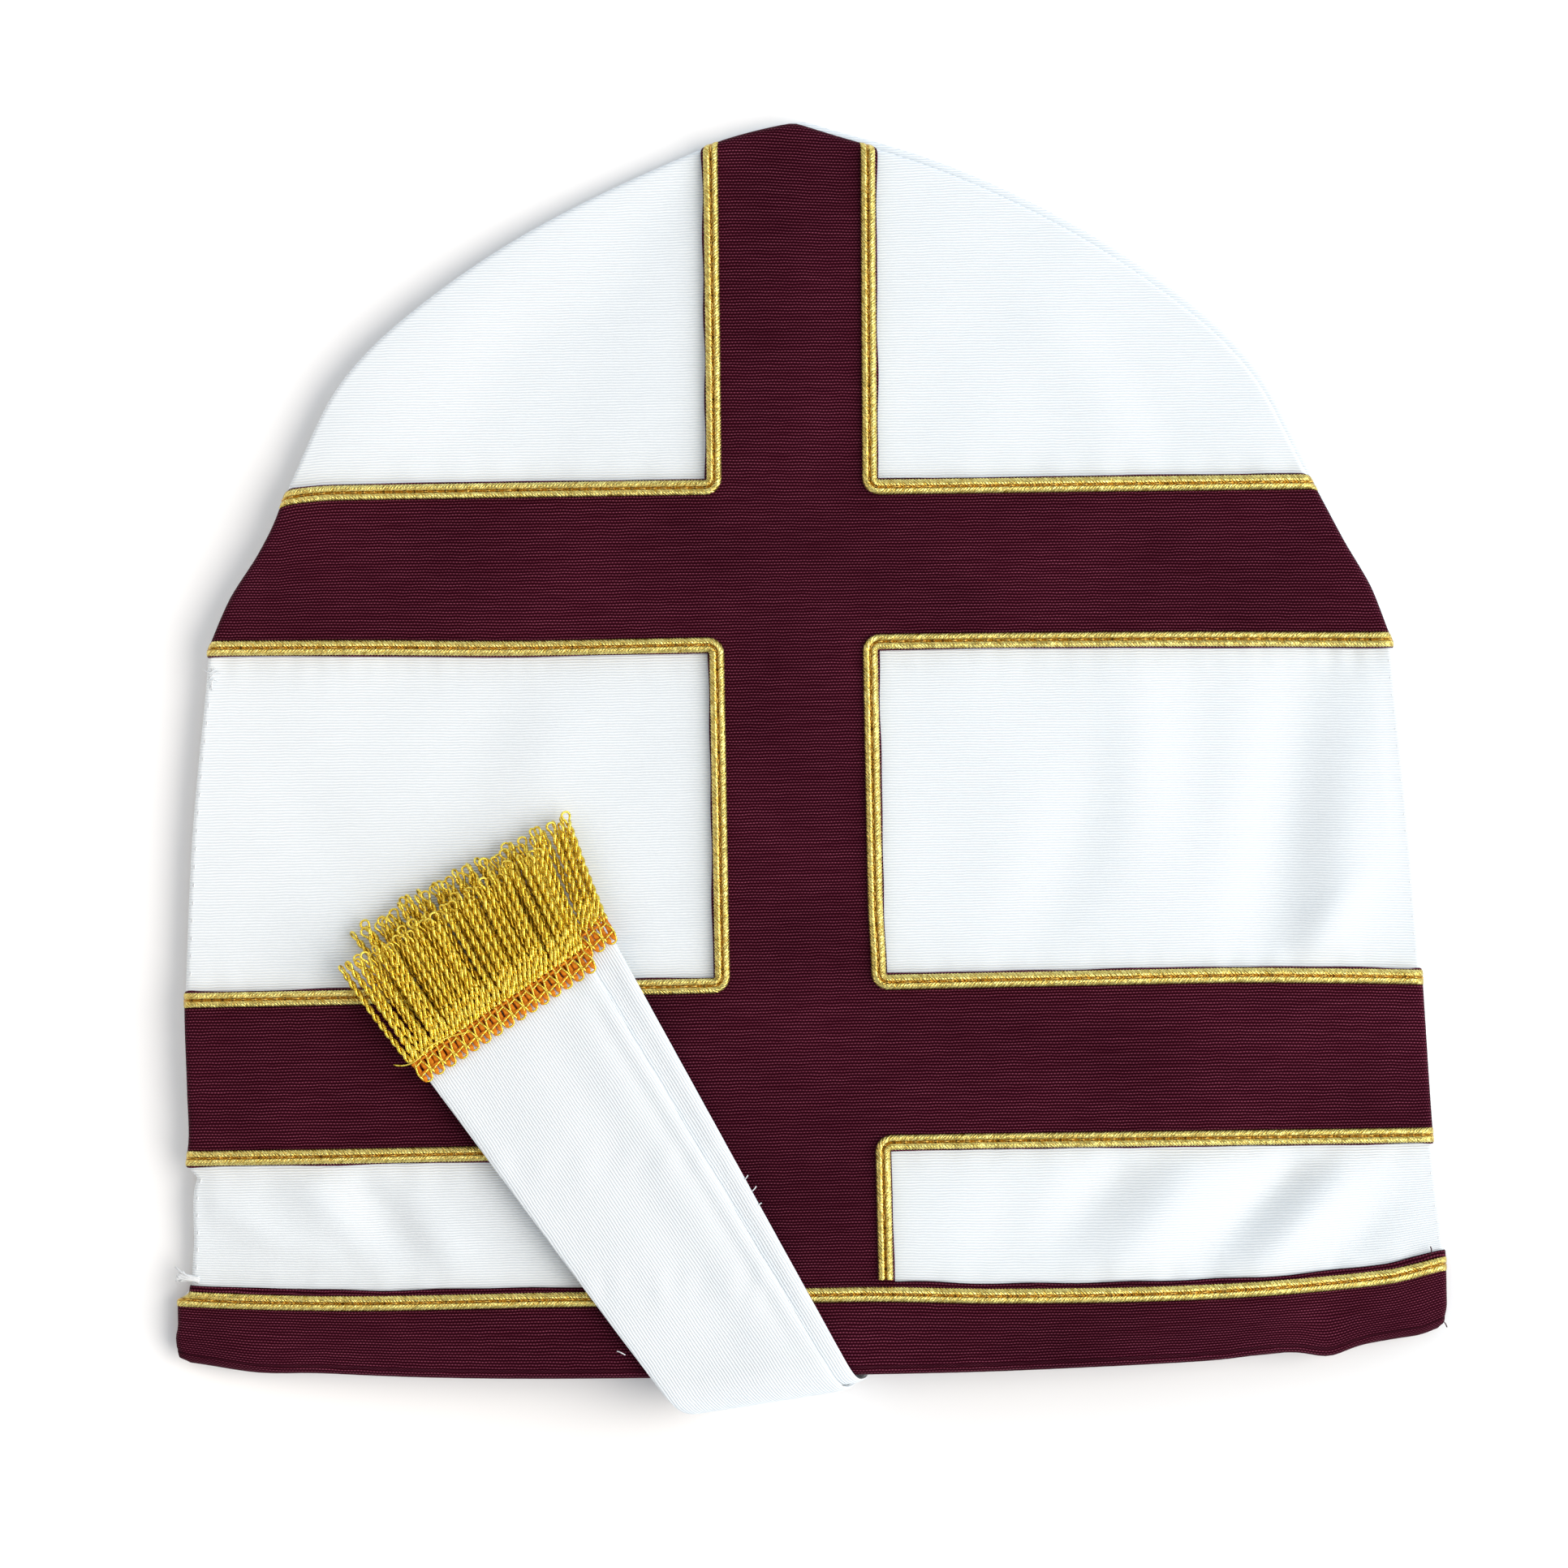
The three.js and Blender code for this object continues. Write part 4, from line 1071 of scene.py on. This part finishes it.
seam = {
    "from": (128.5, 247), "to": (201, 271),  # drops of its two runs of stitches
    "pitch": 4.1, "inset": 1.1, "length": 1.0, "radius": 0.17, "steps": 6, "dip": 0.28,
    "lift": (0.08, -0.06),  # the left seam's stitches stand out more
}
threads = {
    # start, bend and end of each, in x, drop and height over the front
    "white_thread_ends": {"radius": 0.14, "material": whiteThread, "slot": "white_cloth", "rows": [
        [(-15.9, 249.6, 3.6), (-15.0, 249.2, 4.4), (-14.6, 248.3, 4.2)],
        [(-14.0, 252.3, 3.6), (-13.1, 251.8, 4.3), (-12.7, 250.9, 4.4)],
        [(-12.9, 255.7, 3.6), (-12.2, 255.3, 4.3), (-11.5, 254.9, 4.0)],
        [(-44.2, 290.1, 3.9), (-45.2, 289.4, 4.4), (-46.1, 289.2, 3.6)],
        [(-138.4, 126.8, 0.6), (-139.9, 128.6, 1.4), (-141.3, 127.0, -0.6)],
        [(-137.2, 127.9, 0.3), (-138.6, 127.0, 1.5), (-140.2, 129.8, 0.0)],
        [(-138.0, 129.9, 0.3), (-139.6, 128.2, 1.2), (-139.4, 132.0, 0.1)],
    ]},
    "gold_thread_end": {"radius": 0.2, "material": fringeGold, "slot": "gold_fringe", "rows": [
        [(-97.4, 221.0, 7.4), (-93.0, 222.0, 8.6), (-90.1, 217.9, 8.5)],
        [(-90.1, 217.9, 8.5), (-87.4, 214.9, 8.4), (-79.5, 213.5, 7.6)],
    ]},
    "dark_thread_ends": {"radius": 0.15, "material": darkThread, "slot": "burgundy_cloth", "rows": [
        [(147.6, 285.4, 0.8), (149.6, 286.0, 0.4), (150.3, 287.9, -0.8)],
        [(146.4, 270.6, 1.2), (147.0, 269.6, 1.9), (146.5, 268.6, 1.6)],
    ]},
}
threadSteps, threadSides = 14, 6
flare = {
    "count": 60, "start": (-145.2, 271.4), "end": (-149.7, 270.6), "bendAt": 0.6, "radius": 0.22, "seed": 51,
    # spread in x and drop, how it grows from start to bend and end, and the range of heights at each
    "spread": (0.4, 0.6), "grows": (0.5, 0.8, 1.0), "low": (-0.6, 0.2, -1.2), "high": (0.2, 0.9, 0.4),
}


def seamStitches():
    # short tubes along the seams, each sunk into the cloth at both ends
    spread = np.linspace(-1, 1, seam["steps"])
    runs = [np.arange(start, end, seam["pitch"]) for start, end in zip(seam["from"], seam["to"])]
    drop = np.concatenate(runs)[:, None] + seam["length"] / 2 * spread
    sunk = seam["dip"] * np.abs(spread) ** 3 + 0 * drop
    paths = [onFront(side * (halfWidth(drop) - seam["inset"]), drop, lift - sunk)
             for side, lift in zip((-1, 1), seam["lift"])]
    shape = tubes(np.concatenate(paths), seam["radius"], threadSides)
    makePiece("seam_stitches", shape, whiteThread)


def bentThreads(rows, radius):  # each bends once, as a quadratic curve
    start, bend, end = np.moveaxis(np.array(rows, float), 1, 0)[:, :, None]
    t = np.linspace(0, 1, threadSteps)[None, :, None]
    x, drop, lift = np.moveaxis((1 - t) ** 2 * start + 2 * t * (1 - t) * bend + t * t * end, 2, 0)
    return tubes(pointAt(x, drop, frontTop(x, drop) + lift), radius, threadSides)


def frayedCorner():  # a tuft of white threads that fans out above the left end of the brow band
    draw = np.random.default_rng(flare["seed"])
    shift = draw.normal(0, 1, (flare["count"], 3, 2)) * np.array(flare["grows"])[:, None] * flare["spread"]
    start, end = np.array(flare["start"]), np.array(flare["end"])
    middle = np.array([start, mix(start, end, flare["bendAt"]), end])
    lift = draw.uniform(flare["low"], flare["high"], (flare["count"], 3))
    rows = np.concatenate([middle + shift, lift[:, :, None]], 2)
    makePiece("frayed_corner", bentThreads(rows, flare["radius"]), whiteThread)


seamStitches()
for threadName, row in threads.items():
    makePiece(threadName, bentThreads(row["rows"], row["radius"]), row["material"])
frayedCorner()


# Lappets

lappet = {
    "wall": 1.2, "endWidth": 46.8, "foldWidth": 35, "foldTurn": np.radians(8.3),
    "lift": 3.1, "step": 1.5, "innerBend": 6.8, "tail": 14, "lap": 2.2,
    "edgeRows": (0, 0.1, 0.3, 0.6), "evenFrom": 1, "rows": 190, "columns": 57, "endRound": 0.6,
    "soft": 2.6,  # how far in the rounding of its long edges reaches
    # soft ridges along it: distance from the right edge, half width, height. They fade over these lengths
    # from its end and before its fold
    "ridges": {"top": [(1.8, 1.5, 0.2), (4.6, 1.7, -0.22), (9, 4, 0.35), (17, 5, -0.2), (26, 8, 0.22),
                       (43, 3, 0.2)],
               "under": [(2, 1.6, 0.2), (5, 2, -0.15)]},
    "ridgeStart": (0, 14), "ridgeEnd": (4, 22),
    # it sinks by so much towards the left end of its fold, over these lengths along the fold and up from it
    "droop": 1.7, "droopAlong": (-6, 18), "droopUp": (6, 26),
    # where its cloth meets the heading and the outermost line of its fold, at mid width, in x and drop
    "top": {"end": (-69.8, 212), "fold": (-11.75, 302.5), "order": 1},
    "under": {"end": (-65.2, 204.7), "fold": (-7.85, 300.6), "order": 0},
}


def lappetLine(name):  # its end, the ways back to the fold and across it, and its length to the fold
    end, fold = np.array(lappet[name]["end"], float), np.array(lappet[name]["fold"], float)
    back = unit(fold - end)
    return end, back, np.array([back[1], -back[0]]), np.linalg.norm(fold - end)


def lappetCloth(name):
    # a straight tapered strip, rolled about its fold line: along the front, a quarter bend, upright,
    # another quarter bend, inside
    row = lappet[name]
    end, back, across, reach = lappetLine(name)
    halfThick = lappet["wall"] / 2
    bend = lappet["innerBend"] + row["order"] * lappet["step"]
    lift = lappet["lift"] + row["order"] * lappet["step"] + halfThick
    tailZ = 2 * backSpace + wall + clearance + halfThick + (1 - row["order"]) * lappet["step"]
    turn = lappet["foldTurn"]
    foldAlong, foldUp = np.array([np.cos(turn), -np.sin(turn)]), np.array([-np.sin(turn), -np.cos(turn)])
    origin = row["fold"] + foldUp * halfThick
    quarter = bend * np.pi / 2

    def plan(a, n):  # x and drop of a place at a along the fold and n up from it
        return origin + a[..., None] * foldAlong + n[..., None] * foldUp

    def topZ(a, n):  # height of the strip where it lies on the front
        x, drop = np.moveaxis(plan(a, n), -1, 0)
        droop = smoothStep(-a, *lappet["droopAlong"]) * (1 - smoothStep(n, *lappet["droopUp"]))
        return frontTop(x, drop) + lift - lappet["droop"] * droop

    slant = -back @ foldUp
    uprightMid = float(topZ(np.array(0.0), np.array(bend))) - tailZ - 2 * bend
    full = reach - bend / slant + (2 * quarter + uprightMid + lappet["tail"]) / slant
    edgeRows, evenFrom = np.array(lappet["edgeRows"]), lappet["evenFrom"]
    evenRows = np.linspace(evenFrom - lappet["lap"], full - evenFrom, lappet["rows"])
    s = np.concatenate([edgeRows - lappet["lap"], evenRows, full - edgeRows[::-1]])[:, None]
    c = np.sin(np.pi / 2 * np.linspace(-1, 1, lappet["columns"]))[None, :]
    width = lappet["endWidth"] + (lappet["foldWidth"] - lappet["endWidth"]) / reach * s
    place = end + s[..., None] * back + (width * c / 2)[..., None] * across - origin
    a, b = place @ foldAlong, place @ foldUp
    fromRight = width / 2 * (1 - c)
    ridges = lappet["ridges"][name]
    ridge = sum(high * np.exp(-(((fromRight - at) / wide) ** 2)) for at, wide, high in ridges)
    ridge = ridge * smoothStep(s, *lappet["ridgeStart"]) * smoothStep(reach - s, *lappet["ridgeEnd"])

    def rolled(out):
        out = out + ridge
        startZ = topZ(a, np.full_like(a, bend))
        upright = startZ - tailZ - 2 * bend
        past = bend - b
        first, second = past / bend, (past - quarter - upright) / bend
        stretches = [past <= 0, past < quarter, past < quarter + upright, past < 2 * quarter + upright]
        n = np.select(
            stretches, [b, bend - (bend + out) * np.sin(first), -out, bend - (bend + out) * np.cos(second)],
            bend + past - 2 * quarter - upright)
        z = np.select(
            stretches, [topZ(a, b) + out, startZ - bend + (bend + out) * np.cos(first),
                        startZ - bend - (past - quarter), tailZ + bend - (bend + out) * np.sin(second)],
            tailZ - out)
        x, drop = np.moveaxis(plan(a, n), -1, 0)
        return pointAt(x, drop, z)

    fromSide = width / 2 * (1 - np.abs(c))
    fromEnd = np.minimum(s - s[0], s[-1] - s)
    half = halfThick * roundEdge(fromSide, lappet["soft"]) * roundEdge(fromEnd, lappet["endRound"])
    half[0] = half[-1] = 0
    half[:, [0, -1]] = 0
    cloth = np.stack(np.broadcast_arrays(s, width * c / 2), -1)
    shape = clothShell(rolled(half), rolled(-half), cloth)
    piece = makePiece(f"lappet_cloth_{name}", shape, white, [f"lappet_{name}"])
    length = float(s[-1, 0] - s[0, 0])
    return piece, (lappet["endWidth"] * mm, length * mm), length * float(width.mean()) * mm * mm


# Fringes

fringe = {
    "cords": 46, "ply": 0.44, "wire": 0.31, "twist": 4.8, "steps": 60, "eyeSteps": 22, "sides": 6,
    "eyeLength": 2.1, "eyeWidth": 1.0, "rootIn": 1.4,
    # the cords differ in length, lean, place, turn, height and bow. Every second one lies higher
    "lengthSpread": 1.3, "leanSpread": 0.9, "rootSpread": 0.15, "tiltSpread": 1.5, "layerSpread": 0.4,
    "bowSpread": 0.4, "layers": 0.7, "layersFrom": (2, 10),
    # the thread is thinner in the eyes: its thickness elsewhere as a share of the ply, and where it changes
    "lift": 0.92, "fullness": 0.98, "eyeThins": (-0.4, 1.6),
    # lean of its outer cords in degrees and their lengths, left and right, height of the heading, and of the
    # cords along their length
    "top": {"lean": (3, -8), "length": (25.5, 24), "heading": 6.1, "seed": 41,
            "droop": [(0, 6.4), (8, 6.7), (16, 6.6), (27, 6.5)]},
    "under": {"lean": (7, -11.5), "length": (27.3, 23.6), "heading": 4.6, "seed": 43,
              "droop": [(0, 4.5), (6, 3.9), (13, 3.2), (28, 2.6)]},
}
heading = {
    "depth": 6.8, "overhang": 1.3, "loops": 15,
    # bars of yarn: radius, start, height, size and length of their ripple, and their thinner ends
    "bar": 0.72, "barFrom": -0.25, "barUp": 0.75, "barSteps": 22, "barSides": 8,
    "ripple": (0.14, 2.4), "barEnds": 0.14, "endShare": 0.4,
    # strands across them: radius, places, and height with its ripple
    "strand": 0.3, "strandAt": (2.0, 4.9), "strandUp": (1.3, 0.28), "strandSteps": 240,
    # unevenness of the yarn: size, length, how far apart two threads' waves are, and seed
    "barWaver": (0.16, 4, 3.0, 7), "barSwell": (0.14, 2.2, 5.0, 8), "strandWaver": (0.15, 5, 9, 9),
    # gold loops: radius, half width as a share of the pitch, start, depth, and how their legs wave and cross
    "thread": 0.26, "loopHalf": 0.36, "loopFrom": 0.7, "loopDepth": 0.95, "loopSag": 0.45, "legPast": 0.3,
    "legSteps": 30, "loopSteps": 15, "legWave": (0.32, 2.9), "legUp": (1.52, 0.12, 1.45),
    # how far the legs sink towards the loop and towards the cords, and over which length
    "loopSink": (1.0, 1.5), "cordSink": (0.7, 1.0),
    # rungs: places, height at the middle, sag at the ends, slant, and thickness as a share of the thread's
    "rungAt": (1.75, 4.3), "rungUp": 1.62, "rungSag": 0.25, "rungSlant": 0.35, "rungShare": 0.85,
    "rungSteps": 12,
}
headingHalf = lappet["endWidth"] / 2 + heading["overhang"]


def fringeCords(name):
    # each cord is one thread, out in a helix, round a teardrop eye and back in the same helix half a turn on
    row = fringe[name]
    draw = np.random.default_rng(row["seed"])
    end, back, across, _ = lappetLine(name)
    out = -back
    count = fringe["cords"]
    share = (np.arange(count) + 0.5) / count  # from the right side to the left
    lean = mix(row["lean"][1], row["lean"][0], share) + fringe["leanSpread"] * draw.normal(0, 1, count)
    c, s = np.cos(np.radians(lean)), np.sin(np.radians(lean))
    way = np.stack([out[0] * c + out[1] * s, out[1] * c - out[0] * s], 1)
    side = np.stack([way[:, 1], -way[:, 0]], 1)
    rootAlong = mix(headingHalf, -headingHalf, share) + draw.normal(0, fringe["rootSpread"], count)
    root = end + out * (heading["depth"] - fringe["rootIn"]) + rootAlong[:, None] * across
    length = mix(row["length"][1], row["length"][0], share)
    length = (length + fringe["lengthSpread"] * draw.uniform(-1, 1, count))[:, None]
    tilt = draw.uniform(-fringe["tiltSpread"], fringe["tiltSpread"], count)[:, None]
    layer = fringe["layers"] * (-1.0) ** np.arange(count)
    layer = (layer + draw.uniform(-fringe["layerSpread"], fringe["layerSpread"], count))[:, None]
    bow = draw.normal(0, fringe["bowSpread"], count)[:, None]
    ply = fringe["ply"]
    t = np.linspace(0, 1, fringe["steps"])[None, :]
    turn = tilt - 2 * np.pi * length * (1 - t) / fringe["twist"]
    tau = np.linspace(0, 2 * np.pi, fringe["eyeSteps"] + 2)[None, 1:-1]
    eyeAlong = length + fringe["eyeLength"] * np.sin(tau / 2) ** 2
    eyeSide = ply * np.cos(tau / 2) + fringe["eyeWidth"] * np.sin(tau) * np.sin(tau / 2)
    along = np.concatenate([t * length, eyeAlong, t[:, ::-1] * length], 1)
    offset = np.concatenate([np.cos(turn) * ply, eyeSide * np.cos(tilt), -np.cos(turn[:, ::-1]) * ply], 1)
    rise = np.concatenate([np.sin(turn) * ply, eyeSide * np.sin(tilt), -np.sin(turn[:, ::-1]) * ply], 1)
    offset = offset + bow * np.sin(np.pi * np.minimum(1, along / length))
    x = root[:, :1] + way[:, :1] * along + side[:, :1] * offset
    drop = root[:, 1:] + way[:, 1:] * along + side[:, 1:] * offset
    lift = tableCurve(row["droop"], along) + fringe["lift"]
    lift = lift + layer * smoothStep(along, *fringe["layersFrom"]) + rise
    thick = mix(fringe["wire"], ply * fringe["fullness"], smoothStep(length - along, *fringe["eyeThins"]))
    shape = tubes(pointAt(x, drop, frontTop(x, drop) + lift), thick, fringe["sides"])
    return makePiece(f"fringe_cords_{name}", shape, fringeGold, [f"fringe_{name}"])


def onHeading(name, along, out, up):
    # a point of a heading: along it to the right, out from the lappet's end, and up from its underside
    end, back, across, _ = lappetLine(name)
    x = end[0] - back[0] * out + across[0] * along
    drop = end[1] - back[1] * out + across[1] * along
    return pointAt(x, drop, frontTop(x, drop) + fringe[name]["heading"] + up)


def uneven(along, thread, wave):  # soft waves along a thread, with others for the next thread
    size, length, apart, seed = wave
    return size * softWaves(along, apart * thread, length, seed)


def headingYarn(name):
    # thick bars of yarn that lie the way the cords do, two to a gold loop, and two thin strands woven across
    count = 2 * heading["loops"]
    pitch = 2 * headingHalf / count
    share = np.linspace(0, 1, heading["barSteps"])[None, :]
    number = np.arange(count)[:, None]
    middle = (number + 0.5) * pitch - headingHalf
    out = mix(heading["barFrom"], heading["depth"], share) + 0 * middle
    high, rippleLength = heading["ripple"]
    up = heading["barUp"] + high * np.cos(2 * np.pi * out / rippleLength + np.pi * number)
    place = middle + uneven(out, middle, heading["barWaver"])
    thick = heading["bar"] * (1 + uneven(out, middle, heading["barSwell"]))
    fromEnd = smoothStep(np.minimum(share, 1 - share), 0, heading["barEnds"])
    thick = thick * mix(heading["endShare"], 1, fromEnd)
    bars = tubes(onHeading(name, place, out, up), thick, heading["barSides"])
    along = np.linspace(-headingHalf, headingHalf, heading["strandSteps"])[None, :]
    strand = np.array([[0.0], [1.0]])
    middleUp, ripple = heading["strandUp"]
    over = middleUp + ripple * np.cos(np.pi * along / pitch + np.pi * strand)
    strandOut = mix(*heading["strandAt"], strand) + uneven(along, strand, heading["strandWaver"])
    strands = tubes(onHeading(name, along, strandOut, over), heading["strand"], threadSides)
    return makePiece(f"heading_yarn_{name}", joined(bars, strands), orangeYarn)


def headingLoops(name):
    # gold thread over the yarn: loops that lie on the lappet, legs that wave across the yarn, two rungs in
    # each
    pitch = 2 * headingHalf / heading["loops"]
    middle = (np.arange(heading["loops"]) + 0.5)[:, None] * pitch - headingHalf
    half = pitch * heading["loopHalf"]
    start, depth = heading["loopFrom"], heading["depth"]
    end = depth + heading["legPast"]
    legOut = mix(start, end, np.linspace(1, 0, heading["legSteps"])[None, :])
    wide, waveLength = heading["legWave"]
    leg = half + wide * np.sin(np.pi * (legOut - start) / waveLength)
    middleUp, ripple, rippleLength = heading["legUp"]
    legUp = middleUp + ripple * np.cos(np.pi * (legOut - start) / rippleLength)
    sink, length = heading["loopSink"]
    legUp = legUp - sink * (1 - smoothStep(legOut, 0, length))
    sink, length = heading["cordSink"]
    legUp = legUp - sink * smoothStep(legOut, depth - length, end)
    turn = np.linspace(0, np.pi, heading["loopSteps"])[None, 1:-1]
    loopOut = start - half * heading["loopDepth"] * np.sin(turn)
    loopUp = legUp[:, -1:] - heading["loopSag"] * np.sin(turn)
    along = np.concatenate([-leg, -half * np.cos(turn), leg[:, ::-1]], 1) + middle
    out = np.concatenate([legOut, loopOut, legOut[:, ::-1]], 1) + 0 * middle
    up = np.concatenate([legUp, loopUp, legUp[:, ::-1]], 1) + 0 * middle
    shapes = [tubes(onHeading(name, along, out, up), heading["thread"], threadSides)]
    spread = np.linspace(-1, 1, heading["rungSteps"])[None, :]
    rungUp = heading["rungUp"] - heading["rungSag"] * spread**2 + 0 * middle
    for at in heading["rungAt"]:
        rungOut = at + heading["rungSlant"] * spread + 0 * middle
        rung = onHeading(name, middle + half * spread, rungOut, rungUp)
        shapes.append(tubes(rung, heading["thread"] * heading["rungShare"], threadSides))
    return makePiece(f"heading_loops_{name}", joined(*shapes), fringeGold)


for name in ("under", "top"):
    cloth, flat, area = lappetCloth(name)
    parts = [fringeCords(name), headingYarn(name), headingLoops(name)]


# Floor, light and camera

studio = {
    # in metres: the middle of the picture, its width at the height of a plane, and how far the camera is off
    "middle": (-0.0045, -0.0045), "width": 0.3706, "plane": 0.010, "distance": 2.2,
    "roll": 0.01753,  # sine of the mitre's turn in the picture
    "sensor": 36, "clipStart": 0.01,
    # a wide soft source, far enough off to light both sides alike, and a small warm one close by on the left
    "keyFrom": (0.72, -0.17, 0.672), "keySpread": np.radians(56), "keyPower": 2.6,
    "keyColor": (1.1, 1.0, 0.9),
    "fillFrom": (-0.42, 0.02, 0.38), "fillAt": (-0.1, 0, 0), "fillSize": 0.35, "fillPower": 0.33,
    "fillColor": (1.4, 1.0, 0.68),
    # the room's light: its colour at the far left and elsewhere, and how far to the left it changes
    "leftColor": (1.0, 1.0, 0.98, 1), "roomColor": (0.85, 1.0, 1.15, 1), "leftFade": (-0.9, -0.2),
    # it is weaker overhead than low down, so that the gold has something dark to mirror: both strengths, the
    # heights between them, and how much more comes from the right and from the peak
    "sideStrength": 1.03, "zenithStrength": 0.37, "skyFade": (0.15, 0.95),
    "fromRight": 0.27, "fromPeak": 0.1,
    "floor": (0.96, 0.96, 0.96), "floorGrain": 0.985, "grainScale": 60.0,
    "floorRoughness": 0.9, "floorShine": 0.1, "floorHalf": 4.0, "floorDrop": 0.0002,
}


def paleFloor():  # a wide square just below the mitre, in two shades that hardly differ
    material, tree, shader, _ = startMaterial("pale_floor")
    place = addNode(tree, "ShaderNodeTexCoord").outputs["Object"]
    dark = [studio["floorGrain"] * c for c in studio["floor"]]
    grain = noise(tree, place, studio["grainScale"], detail=3.0)
    feed(tree, shader, {
        "Base Color": blendColors(tree, grain, (*dark, 1), (*studio["floor"], 1)),
        "Roughness": studio["floorRoughness"], "Specular IOR Level": studio["floorShine"]})
    half = studio["floorHalf"]
    mesh = bpy.data.meshes.new("floor")
    corners = [(-half, -half, 0), (half, -half, 0), (half, half, 0), (-half, half, 0)]
    mesh.from_pydata(corners, [], [(0, 1, 2, 3)])
    mesh.uv_layers.new(name="cloth")
    mesh.materials.append(material)
    floor = placeObject("floor", mesh)
    floor.location.z = -studio["floorDrop"]


def addLamp(name, kind, aim, **settings):  # a light that shines from its place towards a point
    light = bpy.data.lights.new(name, kind)
    light.energy = studio[f"{name}Power"]
    light.color = studio[f"{name}Color"]
    for setting, value in settings.items():
        setattr(light, setting, value)
    lamp = placeObject(name, light)
    lamp.location = studio[f"{name}From"]
    lamp.rotation_euler = (Vector(aim) - lamp.location).to_track_quat("-Z", "Y").to_euler()


def roomLight():  # strength by height and by side, and colour by how far to the left
    world = bpy.data.worlds.new("room")
    bpy.context.scene.world = world
    world.use_nodes = True
    tree = world.node_tree
    way = addNode(tree, "ShaderNodeTexCoord").outputs["Generated"]
    way = addNode(tree, "ShaderNodeSeparateXYZ", {0: way}).outputs
    low = ranged(tree, way["Z"], *studio["skyFade"], studio["sideStrength"], studio["zenithStrength"])
    facing = calc(tree, "MULTIPLY_ADD", way["Y"], studio["fromPeak"], 1.0)
    facing = calc(tree, "MULTIPLY_ADD", way["X"], studio["fromRight"], facing)
    elsewhere = ranged(tree, way["X"], *studio["leftFade"])
    feed(tree, tree.nodes["Background"], {
        "Strength": calc(tree, "MULTIPLY", low, facing),
        "Color": blendColors(tree, elsewhere, studio["leftColor"], studio["roomColor"])})


def camera():  # looks straight down. Its lens takes in the picture's width at its distance
    lens = bpy.data.cameras.new("camera")
    lens.sensor_width = studio["sensor"]
    lens.lens = lens.sensor_width * studio["distance"] / studio["width"]
    lens.clip_start = studio["clipStart"]
    eye = placeObject("camera", lens)
    eye.location = (*studio["middle"], studio["plane"] + studio["distance"])
    eye.rotation_euler = (0, 0, -np.arcsin(studio["roll"]))
    bpy.context.scene.camera = eye


paleFloor()
addLamp("key", "SUN", (0, 0, 0), angle=studio["keySpread"])
addLamp("fill", "AREA", studio["fillAt"], size=studio["fillSize"])
roomLight()
camera()
bpy.context.scene.view_settings.view_transform = "Standard"
print("stage set")
